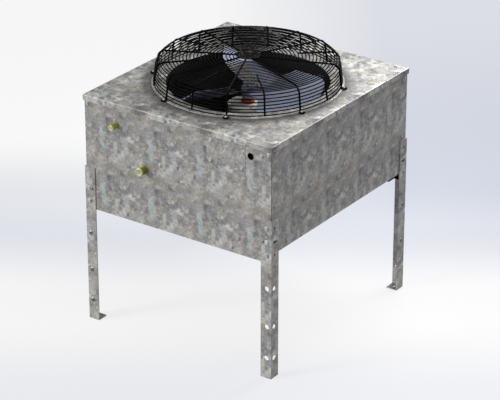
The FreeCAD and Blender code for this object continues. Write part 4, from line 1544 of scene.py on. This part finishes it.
@dataclass
class Stage:
    """Pale floor, soft light and the camera of the photograph."""

    azimuth: float = 35.135
    place: tuple = (3.94786, -5.59945, 3.58295)
    elevation: float = 25.194
    lens: float = 173.28
    floor_reach: float = 30000.0
    floor_left: tuple = ((0.34, (229, 232, 239)), (0.42, (233, 235, 240)), (0.59, (254, 254, 254)))
    floor_right: tuple = ((0.34, (226, 229, 238)), (0.46, (214, 218, 230)), (1.0, (230, 232, 239)))
    floor_lit: float = 0.195
    floor_greys: tuple = (0.17, 0.22)
    sky: float = 0.46
    sky_tone: tuple = (1.0, 0.99, 0.975)
    sky_seen: tuple = (0.93, 0.94, 0.96)
    key: float = 2.2
    key_width: float = 18.0
    key_from: tuple = (-0.55, -0.76, 0.34)
    lamps: tuple = (("back", 20.5, 0.9, (0.28, 0.95, 1.55), (0.10, 0.10, 0.76)),
                    ("corner", 0.36, 0.2, (0.31, -0.42, 1.08), (0.30, -0.34, 0.76)))

    def build(self) -> None:
        """Makes floor, world, lamp and camera."""
        self.make_floor()
        self.make_world()
        self.make_lamp()
        self.make_camera()

    def make_floor(self) -> None:
        """Large flat floor, whose own colour the camera and reflections see, with the object's shadow."""
        surface = Surface()
        side = np.linspace(-self.floor_reach, self.floor_reach, 9)
        x, y = np.meshgrid(side, side)
        surface.grid(np.stack([x, y, 0 * x], -1))
        floor = bpy.data.objects.new("floor", surface.mesh("floor"))
        bpy.context.scene.collection.objects.link(floor)
        floor.data.materials.append(self.floor_material())

    def floor_material(self) -> bpy.types.Material:
        """Grey to the object's light, white with a pale blue band behind the legs to the eye.

        Returns:
            The material.
        """
        b = Nodes(bpy.data.materials.new("floor_white"))
        x, y, _ = b.split(b.add("ShaderNodeTexCoord").outputs["Object"])
        a = math.radians(self.azimuth)
        depth = b.plus(b.times(x, -math.sin(a)), b.times(y, math.cos(a)))
        across = b.plus(b.times(x, math.cos(a)), b.times(y, math.sin(a)))
        share = b.span(depth, -0.6, 2.7)
        near = ((0.0, (243, 244, 248)), (0.14, (254, 254, 254)), (0.20, (253, 253, 254)))
        left, right = (b.ramp(share, near + far) for far in (self.floor_left, self.floor_right))
        seen = b.mix(b.span(across, -0.15, 0.55), left, right)
        own = b.mix(1.0, seen, (self.floor_lit,) * 3, "SUBTRACT")
        lift = b.add("ShaderNodeEmission", {"Color": own})
        shade, plain = (b.add("ShaderNodeBsdfDiffuse", {"Color": (grey,) * 3}) for grey in self.floor_greys)
        total = b.add("ShaderNodeAddShader", {0: lift.outputs[0], 1: shade.outputs[0]})
        ray = b.add("ShaderNodeLightPath").outputs
        eye = b.any_of(ray["Is Camera Ray"], ray["Is Glossy Ray"], ray["Is Transmission Ray"])
        choice = b.add("ShaderNodeMixShader", {0: eye, 1: plain.outputs[0], 2: total.outputs[0]})
        b.add("ShaderNodeOutputMaterial", {"Surface": choice.outputs[0]})
        return b.owner

    def make_world(self) -> None:
        """Even sky at the plain level, white to the eye."""
        world = bpy.data.worlds.new("studio")
        bpy.context.scene.world = world
        b = Nodes(world)
        soft = b.add("ShaderNodeBackground", {"Color": self.sky_tone, "Strength": self.sky})
        white = b.add("ShaderNodeBackground", {"Color": self.sky_seen, "Strength": 1.0})
        eye = b.add("ShaderNodeLightPath").outputs["Is Camera Ray"]
        mix = b.add("ShaderNodeMixShader", {0: eye, 1: soft.outputs[0], 2: white.outputs[0]})
        b.add("ShaderNodeOutputWorld", {"Surface": mix.outputs[0]})

    def make_lamp(self) -> None:
        """One wide soft lamp from the upper left, and smaller ones over the cover's back and near corner."""
        data = bpy.data.lights.new("key", "SUN")
        data.energy, data.angle = self.key, math.radians(self.key_width)
        self.aim(bpy.data.objects.new("key", data), (0, 0, 0), self.key_from)
        for name, watts, width, place, target in self.lamps:
            data = bpy.data.lights.new(name, "AREA")
            data.shape, data.size, data.energy = "DISK", width, watts
            lamp = bpy.data.objects.new(name, data)
            lamp.visible_camera = False
            self.aim(lamp, place, Vector(place) - Vector(target))

    @staticmethod
    def aim(made: bpy.types.Object, place: Sequence[float], back: Sequence[float]) -> None:
        """Links an object that looks along its own -Z, placed and turned so that its back faces that way.

        Args:
            made: the lamp or camera.
            place: where it stands.
            back: the way that its back faces.
        """
        made.location = place
        made.rotation_mode = "QUATERNION"
        made.rotation_quaternion = Vector(back).to_track_quat("Z", "Y")
        bpy.context.scene.collection.objects.link(made)

    def make_camera(self) -> None:
        """Camera placed and turned as fitted to the photograph."""
        data = bpy.data.cameras.new("camera")
        data.lens, data.sensor_width = self.lens, 36
        data.clip_start, data.clip_end = 0.1, 200
        camera = bpy.data.objects.new("camera", data)
        a, e = math.radians(self.azimuth), math.radians(self.elevation)
        self.aim(camera, self.place, (math.sin(a) * math.cos(e), -math.cos(a) * math.cos(e), math.sin(e)))
        bpy.context.scene.camera = camera


def main() -> None:
    """Builds the stage and every sub-assembly in order."""
    logging.basicConfig(level=logging.INFO, format="%(message)s")
    bpy.context.scene.view_settings.view_transform = "Standard"
    Stage().build()
    shop = Workshop()
    for part in (Cabinet(shop), Legs(shop), Guard(shop), Fan(shop), Motor(shop), Coil(shop), Couplings(shop)):
        part.build()


if __name__ == "__main__":
    main()
